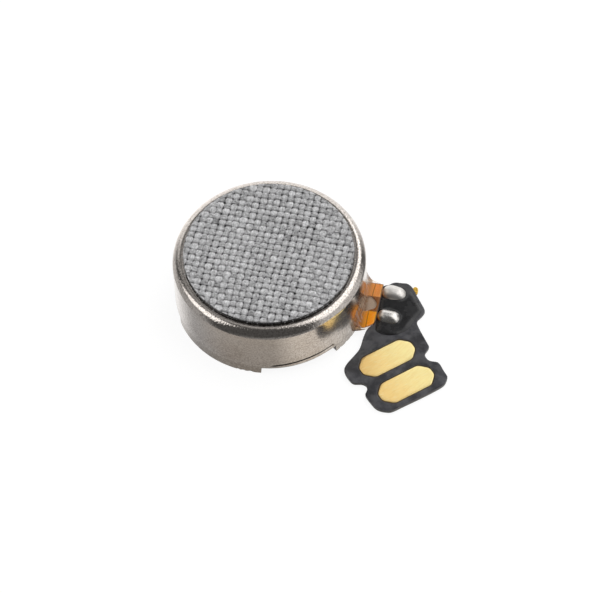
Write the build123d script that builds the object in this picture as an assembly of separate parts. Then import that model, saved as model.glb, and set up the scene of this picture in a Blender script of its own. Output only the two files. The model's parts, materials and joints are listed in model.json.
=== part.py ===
from build123d import *
import math
import os

# Vibration coin motor: a disc-shaped eccentric-rotor motor in a drawn steel case, with a
# fabric pad on its roof, an amber flex leaving one side and a black contact tail soldered to it.
# Millimetres. +Z is up along the shaft, +X is the side the flex leaves from, and the origin is
# the middle of the base's underside. A pair is (low, high) unless a comment says otherwise.

# ---- case and base; azimuths are in degrees from +X
CASE_R = 5.00
WALL = 0.20
CASE_H = 3.50            # underside of the skirt tabs to the roof
RIM_FILLET = 0.40        # outside radius of the drawn rim
INNER_R = CASE_R - WALL
ROOF_Z = CASE_H - WALL   # underside of the roof
RECESS_Z = 0.50          # skirt height between the tabs
EXIT_Z = 0.75            # height of the slot the flex leaves through
EXIT_HALF_DEG = 18.0
TAB_NEAR = (EXIT_HALF_DEG, 36.4)   # short tab beside the slot, mirrored across XZ
TAB_FAR = (84.2, 148.4)            # long tab, mirrored across XZ
BASE_R = 4.70            # base plate where the skirt is recessed
BASE_TAB_R = INNER_R - 0.01        # base plate inside the tabs
BASE_TAB_DEPTH = 0.5     # how far the tab sectors overlap the plate
BASE_TAB_GAP_DEG = 0.3
BASE_T = 0.25
TONGUE_X = (4.0, 5.60)
TONGUE_HALF = 1.15
TONGUE_FILLET = 0.35
BOSS_R = 0.75            # drawn boss that grips the shaft
BOSS_Z = 0.85
BOSS_CHAMFER = 0.08
SHAFT_R = 0.40
SHAFT_CHAMFER = 0.06

# ---- flex inside the motor, and the magnet on it
FLEX_R = 4.00
FLEX_HOLE_R = 0.90
FILM_Z = BASE_T + 0.05   # top of each layer
COPPER_Z = FILM_Z + 0.02
COVER_Z = COPPER_Z + 0.03
NECK = [                 # x, y
    (3.20, -1.45), (5.18, -1.45), (5.46, -1.28), (5.62, -1.12), (5.69, -0.92), (5.69, 1.40),
    (3.20, 1.40),
]
TRACE_Y = (1.05, 1.35)
TRACE_END_X = 4.7
TRACE_PAD_MARGIN = 0.04
TRACE_A_END = [(4.6, 0.55), (5.62, 0.55), (5.62, 1.32), (4.6, 1.32)]   # x, y
TRACE_B_END = [          # x, y
    (4.6, -1.36), (5.20, -1.36), (5.42, -1.24), (5.57, -1.00), (5.58, -0.62), (5.50, -0.40),
    (4.6, -0.40),
]
WINDOW_MARGIN = 0.08     # opening in the cover film around each brush foot
WINDOW_REACH = 0.25      # the same, on the opening's +X side
MAGNET_R = (2.20, 4.15)
MAGNET_T = 0.65
MAGNET_CHAMFER = 0.06

# ---- brushes, one each side of the XZ plane
FOOT_X = (-1.45, -0.85)
BRUSH_Y = (0.95, 1.45)
BRUSH_MID_Y = sum(BRUSH_Y) / 2
BRUSH_T = 0.10
FOOT_FILLET = 0.12
LEAF_PATH = [            # x, z of the leaf's middle line
    (-0.79, 0.375), (0.78, 1.06), (0.97, 1.16), (1.12, 1.225), (1.26, 1.19), (1.35, 1.11),
]
FORK_X = (0.25, 2.0)     # slit that forks the leaf
FORK_HALF = 0.04
FOOT_BEAD_R = 0.19
FOOT_BEAD_X = sum(FOOT_X) / 2 - 0.04

# ---- rotor
ROTOR_DEG = 150.0        # azimuth of the rotor's heavy side at rest
ROTOR_HALF_DEG = 95.0
ROTOR_R = 4.45
HUB_R = 1.60
WASHER_T = 0.10
WASHER_BORE_R = SHAFT_R + 0.01
LOWER_WASHER_R = 0.70
UPPER_WASHER_R = 0.80
END_PLAY = 0.02          # gap between the bearing and each washer
BEARING_R = (0.42, 0.85)
BEARING_Z = (BOSS_Z + WASHER_T + END_PLAY, ROOF_Z - WASHER_T - END_PLAY)
BOARD_Z = (1.32, 1.47)
BOARD_HUB_R = 2.10
SEGMENT_R = (1.10, 1.85)
SEGMENT_T = 0.02
SEGMENTS = 6
SEGMENT_MARGIN_DEG = 4   # half the gap between segments
MOULD_TOP = 2.95
COIL_AT_R = 2.95
COIL_AT_DEG = 62.0       # either side of the heavy side
COIL_GAP = 0.01
COIL_R = (0.45, 1.24)
COIL_Z = (BOARD_Z[1] + COIL_GAP, 2.53)
COIL_FILLET = 0.12
WEIGHT_R0 = 1.90
WEIGHT_HALF_DEG = 27.0
WEIGHT_TOP = 2.75
LEAD_AT_R = 1.86
LEAD_AT_DEG = (-38, 0, 38)         # from the rotor's light side
LEAD_DOT_R = 0.17

# ---- fabric pad on the roof
PAD_R = 4.41
ADHESIVE_R = PAD_R - 0.02
ADHESIVE_Z = CASE_H + 0.05         # top of the adhesive
PAD_T = 0.20

# ---- clear adhesive where the neck leaves the case
EXIT_BEAD_GAP = 0.005
EXIT_BEAD_Y = (-1.42, 1.38)
EXIT_BEAD_SECTION = [    # x, z
    (4.90, COVER_Z + EXIT_BEAD_GAP), (4.90, 0.86), (5.06, 0.84), (5.14, 0.66), (5.28, 0.51),
    (5.46, 0.42), (5.64, 0.375), (5.66, COVER_Z + EXIT_BEAD_GAP),
]
EXIT_BEAD_PLAN = [       # x, y
    (4.50, -1.43), (5.17, -1.43), (5.44, -1.26), (5.60, -1.10), (5.67, -0.90), (5.67, 1.38),
    (4.50, 1.38),
]

# ---- black tail: U runs along the contact pads, V runs back towards the motor
TAIL_O = (7.361, -3.803)
TAIL_DEG = 41.7
TAIL_Z = (0.13, 0.25)
STIFFENER_Z = (0.05, TAIL_Z[0])
STIFFENER_V = 1.55       # the stiffener stops here
BEND_V = 1.78            # line the tail bends about
BEND_HALF = 0.07         # half the length of the strip that bends
BEND_GAP = 0.01
CONTACT_L, CONTACT_W, CONTACT_CHAMFER = 3.05, 1.35, 0.45
CONTACT_FILLET = 0.10
CONTACT_V = (0.95, -0.95)          # middle of each contact
CONTACT_Z = (0.23, 0.255)
HALO = 0.08              # opening in the cover film around each contact
TAIL_OUTLINE = [         # u, v
    (2.46, 4.87), (2.65, 4.89), (2.86, 4.83), (3.10, 4.62), (3.31, 4.48), (3.39, 4.29),
    (3.42, 4.05), (3.35, 3.64), (3.30, 3.15), (3.25, 2.66), (3.21, 2.50), (3.11, 2.38),
    (2.82, 2.25), (2.57, 2.19), (2.48, 2.09), (2.42, 1.98), (2.35, 1.58), (2.28, 0.96),
    (2.23, 0.47), (2.18, 0.39), (1.99, 0.29), (1.83, 0.21), (1.73, 0.05), (1.72, -0.17),
    (1.79, -0.35), (1.99, -0.52), (2.10, -0.62), (2.13, -0.82), (2.07, -1.26), (2.07, -1.62),
    (2.00, -1.73), (1.75, -1.94), (1.50, -2.01), (0.77, -2.03), (-0.12, -2.02), (-1.00, -1.99),
    (-1.29, -1.99), (-1.52, -1.96), (-1.69, -1.86), (-1.96, -1.62), (-2.10, -1.35),
    (-2.13, -1.01), (-2.15, -0.53), (-2.11, -0.37), (-1.97, -0.28), (-1.85, -0.16),
    (-1.79, -0.02), (-1.79, 0.12), (-1.89, 0.30), (-2.11, 0.43), (-2.24, 0.51), (-2.33, 0.67),
    (-2.35, 1.13), (-2.30, 1.42), (-2.17, 1.60), (-1.93, 1.75), (-1.69, 1.85), (-1.29, 2.01),
    (-0.97, 2.15), (-0.72, 2.36), (-0.41, 2.69), (-0.06, 2.99), (0.13, 3.09), (0.34, 3.15),
]
TAIL_HIDDEN = [(5.62, -1.16), (5.62, 1.30), (5.78, 1.42)]   # x, y of the edge under the neck

# ---- solder and glue on the tail
SOLDER_R = 0.30
SOLDERS = [((5.73, 6.91), 0.93), ((5.75, 6.88), -0.58)]     # extent in x, and y
SOLDER_GAP = 0.01        # between the solder and the glue
GLUE_TOP = 0.40
GLUE_CHAMFER = 0.09
GLUE = [                 # x, y
    (5.72, 1.34), (6.05, 1.52), (6.60, 1.62), (6.93, 1.56), (7.13, 1.34), (7.38, 1.00),
    (7.62, 0.65), (7.92, 0.20), (7.93, 0.02), (7.76, -0.32), (7.68, -0.60), (7.58, -0.92),
    (7.42, -1.20), (7.12, -1.44), (6.86, -1.60), (6.36, -1.70), (5.90, -1.60), (5.72, -1.35),
]
TIE_STUB = [             # x, y
    (7.245, 1.535), (7.31, 1.62), (7.46, 1.58), (7.52, 1.39), (7.51, 1.17), (7.475, 1.19),
]
TIE_STUB_Z = (0.17, 0.22)

# ---- cutting tools
FULL_Z = (-1.0, 5.0)     # reaches past every piece
FAR = 20.0               # beyond every piece sideways
WEDGE_R = 9.0            # keeps the chords of a wedge's rim outside the case


# ---- basic shapes
def disc(radius, bottom, top, x=0.0, y=0.0):
    return Pos(x, y, (bottom + top) / 2) * Cylinder(radius, top - bottom)


def ring(bore, radius, bottom, top, x=0.0, y=0.0):
    return disc(radius, bottom, top, x, y) - disc(bore, bottom - 1, top + 1, x, y)


def block(xs, ys, zs):
    sizes = [high - low for low, high in (xs, ys, zs)]
    return Pos(sum(xs) / 2, sum(ys) / 2, sum(zs) / 2) * Box(*sizes)


def prism(points, bottom, top):
    face = make_face(Polyline(*[(x, y, bottom) for x, y in points], close=True))
    return extrude(face, amount=top - bottom, dir=(0, 0, 1))


def side_prism(points, low_y, high_y):
    """Prism along Y over an (x, z) section."""
    face = make_face(Polyline(*[(x, low_y, z) for x, z in points], close=True))
    return extrude(face, amount=high_y - low_y, dir=(0, 1, 0))


def polar(radius, deg):
    return radius * math.cos(math.radians(deg)), radius * math.sin(math.radians(deg))


def wedge(start, end, bottom=FULL_Z[0], top=FULL_Z[1]):
    """Sector about Z between two azimuths, its rim made of chords."""
    steps = max(2, int(abs(end - start) / 15) + 2) - 1
    rim = [polar(WEDGE_R, start + (end - start) * i / steps) for i in range(steps + 1)]
    return prism([(0, 0)] + rim, bottom, top)


def above(shape, z):
    return shape & block((-FAR, FAR), (-FAR, FAR), (z, FULL_Z[1]))


def dome(radius, x, y, z):
    return above(Pos(x, y, z) * Sphere(radius), z)


def widen(span, margin):
    return span[0] - margin, span[1] + margin


def on_side(side, span):
    """The span in Y, or its mirror image when side is -1."""
    return sorted((side * span[0], side * span[1]))


def save(shape, name):
    solids = shape.solids()
    out = solids[0] if len(solids) == 1 else Compound(children=list(solids))
    out.label = name
    export_step(out, os.path.join("parts", name + ".step"))


def save_group(shapes, name):
    save(Compound(children=[shape.solids()[0] for shape in shapes]), name)


# ---- case and base
def rim_points(edge_r, top, radius):
    """Start, middle and end of a quarter arc from the roof down to the wall."""
    inset = radius * (1 - math.sqrt(0.5))
    return [(edge_r - radius, 0, top), (edge_r - inset, 0, top - inset), (edge_r, 0, top - radius)]


def case_cup():
    """Drawn cup, its skirt cut back between the tabs and open where the flex leaves."""
    outer = rim_points(CASE_R, CASE_H, RIM_FILLET)
    inner = rim_points(INNER_R, ROOF_Z, RIM_FILLET - WALL)
    profile = Line((0, 0, CASE_H), outer[0])
    profile += ThreePointArc(*outer)
    profile += Polyline(outer[-1], (CASE_R, 0, 0), (INNER_R, 0, 0), inner[-1])
    profile += ThreePointArc(*inner[::-1])
    profile += Polyline(inner[0], (0, 0, ROOF_Z), (0, 0, CASE_H))
    cup = revolve(make_face(profile), Axis.Z, 360)
    between_tabs = (
        (TAB_NEAR[1], TAB_FAR[0]),
        (-TAB_FAR[0], -TAB_NEAR[1]),
        (TAB_FAR[1], 360 - TAB_FAR[1]),
    )
    for start, end in between_tabs:
        cup -= wedge(start, end, top=RECESS_Z)
    return cup - wedge(-EXIT_HALF_DEG, EXIT_HALF_DEG, top=EXIT_Z)


def base_plate():
    """Disc, fuller inside the tabs, with the shaft boss and the tongue under the flex."""
    base = disc(BASE_R, 0, BASE_T)
    tabs = [TAB_NEAR, TAB_FAR]
    for start, end in tabs + [(-end, -start) for start, end in tabs]:
        sector = wedge(start + BASE_TAB_GAP_DEG, end - BASE_TAB_GAP_DEG)
        base += ring(BASE_R - BASE_TAB_DEPTH, BASE_TAB_R, 0, BASE_T) & sector
    tongue = block(TONGUE_X, (-TONGUE_HALF, TONGUE_HALF), (0, BASE_T))
    base += fillet(tongue.edges().filter_by(Axis.Z).group_by(Axis.X)[-1], TONGUE_FILLET)
    boss = disc(BOSS_R, 0, BOSS_Z)
    boss = chamfer(boss.edges().group_by(Axis.Z)[-1], BOSS_CHAMFER)
    return base + boss - disc(SHAFT_R, *FULL_Z)


def shaft():
    rod = disc(SHAFT_R, 0, ROOF_Z)
    return chamfer(rod.edges().group_by(Axis.Z)[-1], SHAFT_CHAMFER)


# ---- flex and magnet
def flex_sheet(bottom, top):
    return disc(FLEX_R, bottom, top) + prism(NECK, bottom, top) - disc(FLEX_HOLE_R, *FULL_Z)


def conductor(side, end_outline):
    """Pad under a brush foot, a straight run, and an end on the neck."""
    layer = (FILM_Z, COPPER_Z)
    pad_y = on_side(side, widen(BRUSH_Y, TRACE_PAD_MARGIN))
    trace = block(widen(FOOT_X, TRACE_PAD_MARGIN), pad_y, layer)
    trace += block((FOOT_X[1], TRACE_END_X), on_side(side, TRACE_Y), layer)
    return trace + prism(end_outline, *layer)


def flex_coverlay():
    cover = flex_sheet(COPPER_Z, COVER_Z)
    window_x = (FOOT_X[0] - WINDOW_MARGIN, FOOT_X[1] + WINDOW_REACH)
    for side in (1, -1):
        cover -= block(window_x, on_side(side, widen(BRUSH_Y, WINDOW_MARGIN)), (FILM_Z, 1))
    return cover


def ring_magnet():
    magnet = ring(*MAGNET_R, COVER_Z, COVER_Z + MAGNET_T)
    top_edges = magnet.edges().filter_by(GeomType.CIRCLE).group_by(Axis.Z)[-1]
    return chamfer(top_edges, MAGNET_CHAMFER)


# ---- brushes
def leaf_profile():
    """Outline in (x, z), half a thickness to each side of the leaf's path."""
    left, right = [], []
    for i, (x, z) in enumerate(LEAF_PATH):
        back_x, back_z = LEAF_PATH[max(i - 1, 0)]
        next_x, next_z = LEAF_PATH[min(i + 1, len(LEAF_PATH) - 1)]
        scale = BRUSH_T / 2 / math.hypot(next_x - back_x, next_z - back_z)
        offset_x, offset_z = -(next_z - back_z) * scale, (next_x - back_x) * scale
        left.append((x + offset_x, z + offset_z))
        right.append((x - offset_x, z - offset_z))
    return left + right[::-1]


def brush_leaf(side):
    """Forked leaf that rises to the commutator, rounded at its low end."""
    ys = on_side(side, BRUSH_Y)
    pivot_x, pivot_z = LEAF_PATH[0]
    middle = side * BRUSH_MID_Y
    leaf = side_prism(leaf_profile(), *ys)
    knuckle = Cylinder(BRUSH_T / 2, ys[1] - ys[0])
    leaf += Pos(pivot_x, middle, pivot_z) * Rot(90, 0, 0) * knuckle
    return leaf - block(FORK_X, (middle - FORK_HALF, middle + FORK_HALF), FULL_Z)


def brush_foot(side):
    foot = block(FOOT_X, on_side(side, BRUSH_Y), (COPPER_Z, COPPER_Z + BRUSH_T))
    return fillet(foot.edges().filter_by(Axis.Z).group_by(Axis.X)[0], FOOT_FILLET)


# ---- rotor
def rotor_plan(hub_r, bottom, top):
    """Round hub with a sector on the heavy side, bored for the bearing."""
    sector = wedge(ROTOR_DEG - ROTOR_HALF_DEG, ROTOR_DEG + ROTOR_HALF_DEG)
    plan = disc(hub_r, bottom, top) + (disc(ROTOR_R, bottom, top) & sector)
    return plan - disc(BEARING_R[1], *FULL_Z)


def commutator_segment(index):
    pitch = 360.0 / SEGMENTS
    start = ROTOR_DEG + pitch * index
    sector = wedge(start + SEGMENT_MARGIN_DEG, start + pitch - SEGMENT_MARGIN_DEG)
    return ring(*SEGMENT_R, BOARD_Z[0] - SEGMENT_T, BOARD_Z[0]) & sector


def coil_centre(side):
    return polar(COIL_AT_R, ROTOR_DEG + side * COIL_AT_DEG)


def coil(side):
    winding = ring(*COIL_R, *COIL_Z, *coil_centre(side))
    top_edges = winding.edges().filter_by(GeomType.CIRCLE).group_by(Axis.Z)[-1]
    return fillet(top_edges.sort_by(SortBy.RADIUS)[-1], COIL_FILLET)


def weight_sector(outer_r, bottom):
    sector = wedge(ROTOR_DEG - WEIGHT_HALF_DEG, ROTOR_DEG + WEIGHT_HALF_DEG)
    return ring(WEIGHT_R0, outer_r, bottom, WEIGHT_TOP) & sector


def rotor_moulding():
    moulding = rotor_plan(HUB_R, BOARD_Z[1], MOULD_TOP)
    pocket_r = (COIL_R[0] - COIL_GAP, COIL_R[1] + COIL_GAP)
    for side in (1, -1):
        moulding -= ring(*pocket_r, FULL_Z[0], COIL_Z[1] + COIL_GAP, *coil_centre(side))
    return moulding - weight_sector(ROTOR_R + 1, FULL_Z[0])


def lead_dot(deg):
    return dome(LEAD_DOT_R, *polar(LEAD_AT_R, ROTOR_DEG + 180 + deg), BOARD_Z[1])


def exit_adhesive():
    bead = side_prism(EXIT_BEAD_SECTION, *EXIT_BEAD_Y)
    bead -= disc(CASE_R + EXIT_BEAD_GAP, *FULL_Z)
    return bead & prism(EXIT_BEAD_PLAN, *FULL_Z)


# ---- black tail
def tail_xy(u, v):
    cos, sin = polar(1, TAIL_DEG)
    return TAIL_O[0] + cos * u - sin * v, TAIL_O[1] + sin * u + cos * v


def tail_sheet(zs, start_v, end_v):
    """The tail's outline at the given heights, cut to a band in V."""
    corners = [(-FAR, start_v), (FAR, start_v), (FAR, end_v), (-FAR, end_v)]
    band = prism([tail_xy(u, v) for u, v in corners], *FULL_Z)
    return prism([tail_xy(u, v) for u, v in TAIL_OUTLINE] + TAIL_HIDDEN, *zs) & band


def contact(middle_v, grow, bottom, top):
    """Rectangle with cut corners, grown on every side."""
    length, width = CONTACT_L / 2 + grow, CONTACT_W / 2 + grow
    cut = CONTACT_CHAMFER + 0.4 * grow
    half = [(length, -width + cut), (length, width - cut), (length - cut, width),
            (-length + cut, width)]
    outline = half + [(-u, -v) for u, v in half]
    return prism([tail_xy(u, middle_v + v) for u, v in outline], bottom, top)


def tail_head():
    head = tail_sheet(TAIL_Z, -FAR, BEND_V - BEND_HALF - BEND_GAP)
    for v in CONTACT_V:
        head -= contact(v, HALO, CONTACT_Z[0], FULL_Z[1])
    return head


def tail_contact(v):
    pad = contact(v, 0, *CONTACT_Z).solids()[0]
    return fillet(pad.edges().filter_by(Axis.Z), CONTACT_FILLET)


# ---- solder joints and the black glue over them
def capsule(xs, y, radius):
    ends = (xs[0] + SOLDER_R, xs[1] - SOLDER_R)
    bar = Cylinder(radius, ends[1] - ends[0])
    body = Pos(sum(xs) / 2, y, TAIL_Z[1]) * Rot(0, 90, 0) * bar
    for x in ends:
        body += Pos(x, y, TAIL_Z[1]) * Sphere(radius)
    return body


def solder_glue():
    glue = prism(GLUE, TAIL_Z[1], GLUE_TOP)
    glue = chamfer(glue.edges().group_by(Axis.Z)[-1], GLUE_CHAMFER)
    for xs, y in SOLDERS:
        glue -= capsule(xs, y, SOLDER_R + SOLDER_GAP)
    # Only the largest solid is kept.
    return sorted(glue.solids(), key=lambda solid: -solid.volume)[0]


# ---- build
os.makedirs("parts", exist_ok=True)

save(case_cup(), "case_cup")
save(base_plate(), "base_plate")
save(shaft(), "shaft")

save(flex_sheet(BASE_T, FILM_Z), "flex_film")
save_group([conductor(1, TRACE_A_END), conductor(-1, TRACE_B_END)], "flex_copper")
save(flex_coverlay(), "flex_coverlay")
save(ring_magnet(), "ring_magnet")

for letter, side in (("a", 1), ("b", -1)):
    save(brush_leaf(side), f"brush_{letter}_leaf")
    save(brush_foot(side), f"brush_{letter}_foot")
    save(coil(side), f"coil_{letter}")
foot_beads = [dome(FOOT_BEAD_R, FOOT_BEAD_X, side * BRUSH_MID_Y, COPPER_Z + BRUSH_T)
              for side in (1, -1)]
save_group(foot_beads, "brush_solder")

# Washers that take the rotor's end play
save(ring(WASHER_BORE_R, LOWER_WASHER_R, BOSS_Z, BOSS_Z + WASHER_T), "lower_washer")
save(ring(WASHER_BORE_R, UPPER_WASHER_R, ROOF_Z - WASHER_T, ROOF_Z), "upper_washer")
save(ring(*BEARING_R, *BEARING_Z), "bearing")
save(rotor_plan(BOARD_HUB_R, *BOARD_Z), "commutator_board")
save_group([commutator_segment(i) for i in range(SEGMENTS)], "commutator_segments")
save(rotor_moulding(), "rotor_moulding")
save(weight_sector(ROTOR_R, BOARD_Z[1]), "eccentric_weight")
save_group([lead_dot(deg) for deg in LEAD_AT_DEG], "coil_lead_solder")

save(disc(ADHESIVE_R, CASE_H, ADHESIVE_Z), "pad_adhesive")
save(disc(PAD_R, ADHESIVE_Z, ADHESIVE_Z + PAD_T), "fabric_pad")
save(exit_adhesive(), "exit_adhesive")

save(tail_sheet(TAIL_Z, BEND_V + BEND_HALF + BEND_GAP, FAR), "tail_root")
save(tail_sheet(TAIL_Z, BEND_V - BEND_HALF, BEND_V + BEND_HALF), "tail_bend_strip")
save(tail_head(), "tail_head")
save(tail_sheet(STIFFENER_Z, -FAR, STIFFENER_V), "tail_stiffener")
save_group([tail_contact(v) for v in CONTACT_V], "tail_contacts")
save_group([above(capsule(xs, y, SOLDER_R), TAIL_Z[1]) for xs, y in SOLDERS], "tail_solder")
save(solder_glue(), "solder_glue")
save(prism(TIE_STUB, *TIE_STUB_Z), "tie_bar_stub")
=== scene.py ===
"""Coin vibration motor with a woven pad on its lid and a black flex tail.

The motor's axis is +Z and the case stands on z = 0. The neck leaves it towards +X and meets
the tail, which bends and carries two gold contacts. Azimuths are degrees from +X towards +Y.
Sizes are in millimetres; meshes are made in metres.
"""
import json
import math

import bmesh
import bpy
import numpy as np
from mathutils import Matrix, Vector
from mathutils import noise as mathutils_noise
from mathutils.geometry import delaunay_2d_cdt


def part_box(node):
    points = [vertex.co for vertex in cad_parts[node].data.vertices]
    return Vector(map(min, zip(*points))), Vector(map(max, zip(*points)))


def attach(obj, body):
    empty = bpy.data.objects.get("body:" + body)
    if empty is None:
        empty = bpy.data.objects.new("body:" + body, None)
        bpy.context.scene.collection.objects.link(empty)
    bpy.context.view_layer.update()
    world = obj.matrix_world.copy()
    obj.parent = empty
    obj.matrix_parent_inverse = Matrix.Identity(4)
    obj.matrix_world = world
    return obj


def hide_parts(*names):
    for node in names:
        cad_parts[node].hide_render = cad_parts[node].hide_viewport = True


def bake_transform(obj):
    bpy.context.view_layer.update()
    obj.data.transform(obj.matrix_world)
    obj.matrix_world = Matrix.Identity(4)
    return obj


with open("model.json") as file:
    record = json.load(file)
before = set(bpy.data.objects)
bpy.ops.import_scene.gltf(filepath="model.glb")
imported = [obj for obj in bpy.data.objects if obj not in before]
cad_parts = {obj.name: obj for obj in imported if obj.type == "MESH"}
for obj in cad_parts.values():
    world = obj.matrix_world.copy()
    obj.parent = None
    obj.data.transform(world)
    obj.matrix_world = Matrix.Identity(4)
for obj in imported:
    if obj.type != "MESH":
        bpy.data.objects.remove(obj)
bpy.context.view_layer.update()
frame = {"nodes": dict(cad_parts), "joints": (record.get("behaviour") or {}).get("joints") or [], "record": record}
MM = 0.001


# ---------------------------------------------------------------- driving dimensions
def piece_box(node_name):
    """Lowest and highest corner of a CAD piece."""
    low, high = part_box(node_name)
    return np.array(low) * 1000, np.array(high) * 1000


def levels(node_name):
    """Lowest and highest z of a CAD piece."""
    low, high = piece_box(node_name)
    return float(low[2]), float(high[2])


case_high = piece_box("case_cup")[1]
CASE_R, CASE_H = round(float(case_high[0]), 2), float(case_high[2])
WALL = 0.20
PAD_R = float(piece_box("fabric_pad")[1][0])
PAD_Z0, PAD_Z1 = levels("fabric_pad")
SHEET_Z0, SHEET_Z1 = levels("tail_bend_strip")
STIFFENER_Z0, STIFFENER_Z1 = levels("tail_stiffener")
GOLD_Z1 = levels("tail_contacts")[1]
FILM_Z0, FILM_Z1 = levels("flex_film")
COVER_Z0, COVER_Z1 = levels("flex_coverlay")
STUB_Z0 = levels("tie_bar_stub")[0]

# Tail frame: origin midway between the contacts, v towards the near contact, u across it.
mounts = {mount["name"]: np.array(mount["pos_m"]) * 1000 for mount in frame["record"]["mounts"]}
near_xy, far_xy = mounts["contact_near"][:2], mounts["contact_far"][:2]
CONTACT_GAP = np.linalg.norm(near_xy - far_xy)
TAIL_ORIGIN = (near_xy + far_xy) / 2
V_AXIS = (near_xy - far_xy) / CONTACT_GAP
U_AXIS = np.array([V_AXIS[1], -V_AXIS[0]])
CONTACT_V = float(CONTACT_GAP / 2)
bend = next(joint for joint in frame["joints"] if joint["name"] == "tail_bend")
BEND_V = float((np.array(bend["pos_m"][:2]) * 1000 - TAIL_ORIGIN) @ V_AXIS)


def tail_to_xy(u, v):
    return TAIL_ORIGIN + U_AXIS * u + V_AXIS * v


def xy_to_tail(xy):
    away = np.asarray(xy, float) - TAIL_ORIGIN
    return np.stack([away @ U_AXIS, away @ V_AXIS], -1)


# ---------------------------------------------------------------- mesh helpers
def smoothstep(start, end, x):
    part = np.clip((np.asarray(x, float) - start) / (end - start), 0, 1)
    return part * part * (3 - 2 * part)


def perlin(x, y, z=0.0):
    return mathutils_noise.noise(Vector((float(x), float(y), float(z))))


def perlin_map(xy, scale, z=0.0):
    return np.array([perlin(x * scale, y * scale, z) for x, y in xy])


def metres(verts):
    return [tuple(float(c) * MM for c in vert) for vert in verts]


def link_object(name, mesh):
    made = bpy.data.objects.new(name, mesh)
    bpy.context.scene.collection.objects.link(made)
    return made


def make_object(name, verts, faces, materials, angle=35.0, indices=None):
    """Smooth-shaded object; edges sharper than angle (degrees) stay sharp."""
    mesh = bpy.data.meshes.new(name)
    mesh.from_pydata(metres(verts), [], faces)
    mesh.validate()
    if indices is not None:
        mesh.polygons.foreach_set("material_index", np.asarray(indices, np.int32))
    bm = bmesh.new()
    bm.from_mesh(mesh)
    bmesh.ops.recalc_face_normals(bm, faces=bm.faces)
    for face in bm.faces:
        face.smooth = True
    limit = math.radians(angle)
    for edge in bm.edges:
        edge.smooth = len(edge.link_faces) == 2 and edge.calc_face_angle(0.0) < limit
    bm.to_mesh(mesh)
    bm.free()
    made = link_object(name, mesh)
    for material in materials:
        mesh.materials.append(material)
    return made


def register(piece, replaces=(), rides="motor"):
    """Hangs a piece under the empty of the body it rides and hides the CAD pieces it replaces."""
    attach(piece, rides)
    if replaces:
        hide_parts(*replaces)


def point_attribute(mesh, name, values):
    attribute = mesh.attributes.new(name, "FLOAT", "POINT")
    attribute.data.foreach_set("value", np.asarray(values, np.float32))


def strip_quad(here, there):
    """Quad between two neighbouring rows, from the given vertex of each to the next."""
    return here, there, there + 1, here + 1


def ring_faces(slices, count, closed):
    """Quads round a ring of slices with count vertices each."""
    faces = []
    for i in range(slices):
        here, there = i * count, (i + 1) % slices * count
        for k in range(count if closed else count - 1):
            after = (k + 1) % count
            faces.append((here + k, here + after, there + after, there + k))
    return faces


def chaikin(loop, rounds=2):
    """Cuts the corners of a closed loop."""
    points = np.asarray(loop, float)
    for _ in range(rounds):
        following = np.roll(points, -1, 0)
        cut = np.empty((len(points) * 2, 2))
        cut[0::2] = points * 0.75 + following * 0.25
        cut[1::2] = points * 0.25 + following * 0.75
        points = cut
    return points


def resample(loop, step):
    points = np.vstack([loop, loop[:1]])
    lengths = np.linalg.norm(np.diff(points, axis=0), axis=1)
    reach = np.concatenate([[0], np.cumsum(lengths)])
    count = max(12, int(round(reach[-1] / step)))
    stops = np.linspace(0, reach[-1], count, endpoint=False)
    return np.stack([np.interp(stops, reach, points[:, 0]),
                     np.interp(stops, reach, points[:, 1])], 1)


def area(loop):
    x, y = loop[:, 0], loop[:, 1]
    return 0.5 * float(np.sum(x * np.roll(y, -1) - np.roll(x, -1) * y))


def wound(loop, sign=1):
    """The loop counter-clockwise (sign 1) or clockwise (sign -1)."""
    return loop if area(loop) * sign > 0 else loop[::-1]


def inside(loop, points):
    x, y = points[:, 0][:, None], points[:, 1][:, None]
    x0, y0 = loop[:, 0][None], loop[:, 1][None]
    x1, y1 = np.roll(loop[:, 0], -1)[None], np.roll(loop[:, 1], -1)[None]
    rise = np.where(y1 == y0, 1e-12, y1 - y0)
    crossed = ((y0 > y) != (y1 > y)) & (x < (x1 - x0) * (y - y0) / rise + x0)
    return crossed.sum(1) % 2 == 1


def within(loops, points):
    """Inside the first loop and outside all the others."""
    keep = inside(loops[0], points)
    for hole in loops[1:]:
        keep &= ~inside(hole, points)
    return keep


def distance(loop, points):
    start, side = loop[None], np.roll(loop, -1, 0)[None] - loop[None]
    squared = np.maximum((side * side).sum(-1), 1e-12)
    result = np.empty(len(points))
    for k in range(0, len(points), 2000):       # in blocks, to bound the memory
        block = points[k:k + 2000, None]
        part = np.clip(((block - start) * side).sum(-1) / squared, 0, 1)
        gap = (start + side * part[..., None]) - block
        result[k:k + 2000] = np.sqrt((gap ** 2).sum(-1)).min(1)
    return result


def offset(loop, amount):
    """Moves a loop towards its left side (inwards for a counter-clockwise loop)."""
    tangent = np.roll(loop, -1, 0) - np.roll(loop, 1, 0)
    tangent /= np.maximum(np.linalg.norm(tangent, axis=1)[:, None], 1e-12)
    return loop + np.stack([-tangent[:, 1], tangent[:, 0]], 1) * amount


def staggered_grid(loop, step):
    low, high = loop.min(0), loop.max(0)
    x, y = np.meshgrid(np.arange(low[0], high[0], step),
                       np.arange(low[1], high[1], step * 0.866))
    x = x + (np.arange(x.shape[0])[:, None] % 2) * step / 2
    return np.stack([x.ravel(), y.ravel()], 1)


def surface_z(surface, xy):
    """Heights of a surface given as a number or as a function of xy."""
    height = surface(xy) if callable(surface) else surface
    return np.asarray(height, float) * np.ones(len(xy))


# Rounded edge of a plate, top to bottom: (inset, drop) in bevels, and whether it hangs
# from the top surface or stands on the bottom one.
EDGE_ROWS = [(0.29, 0.29, True), (0.0, 1.0, True), (0.0, 1.0, False), (0.29, 0.29, False)]


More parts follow.
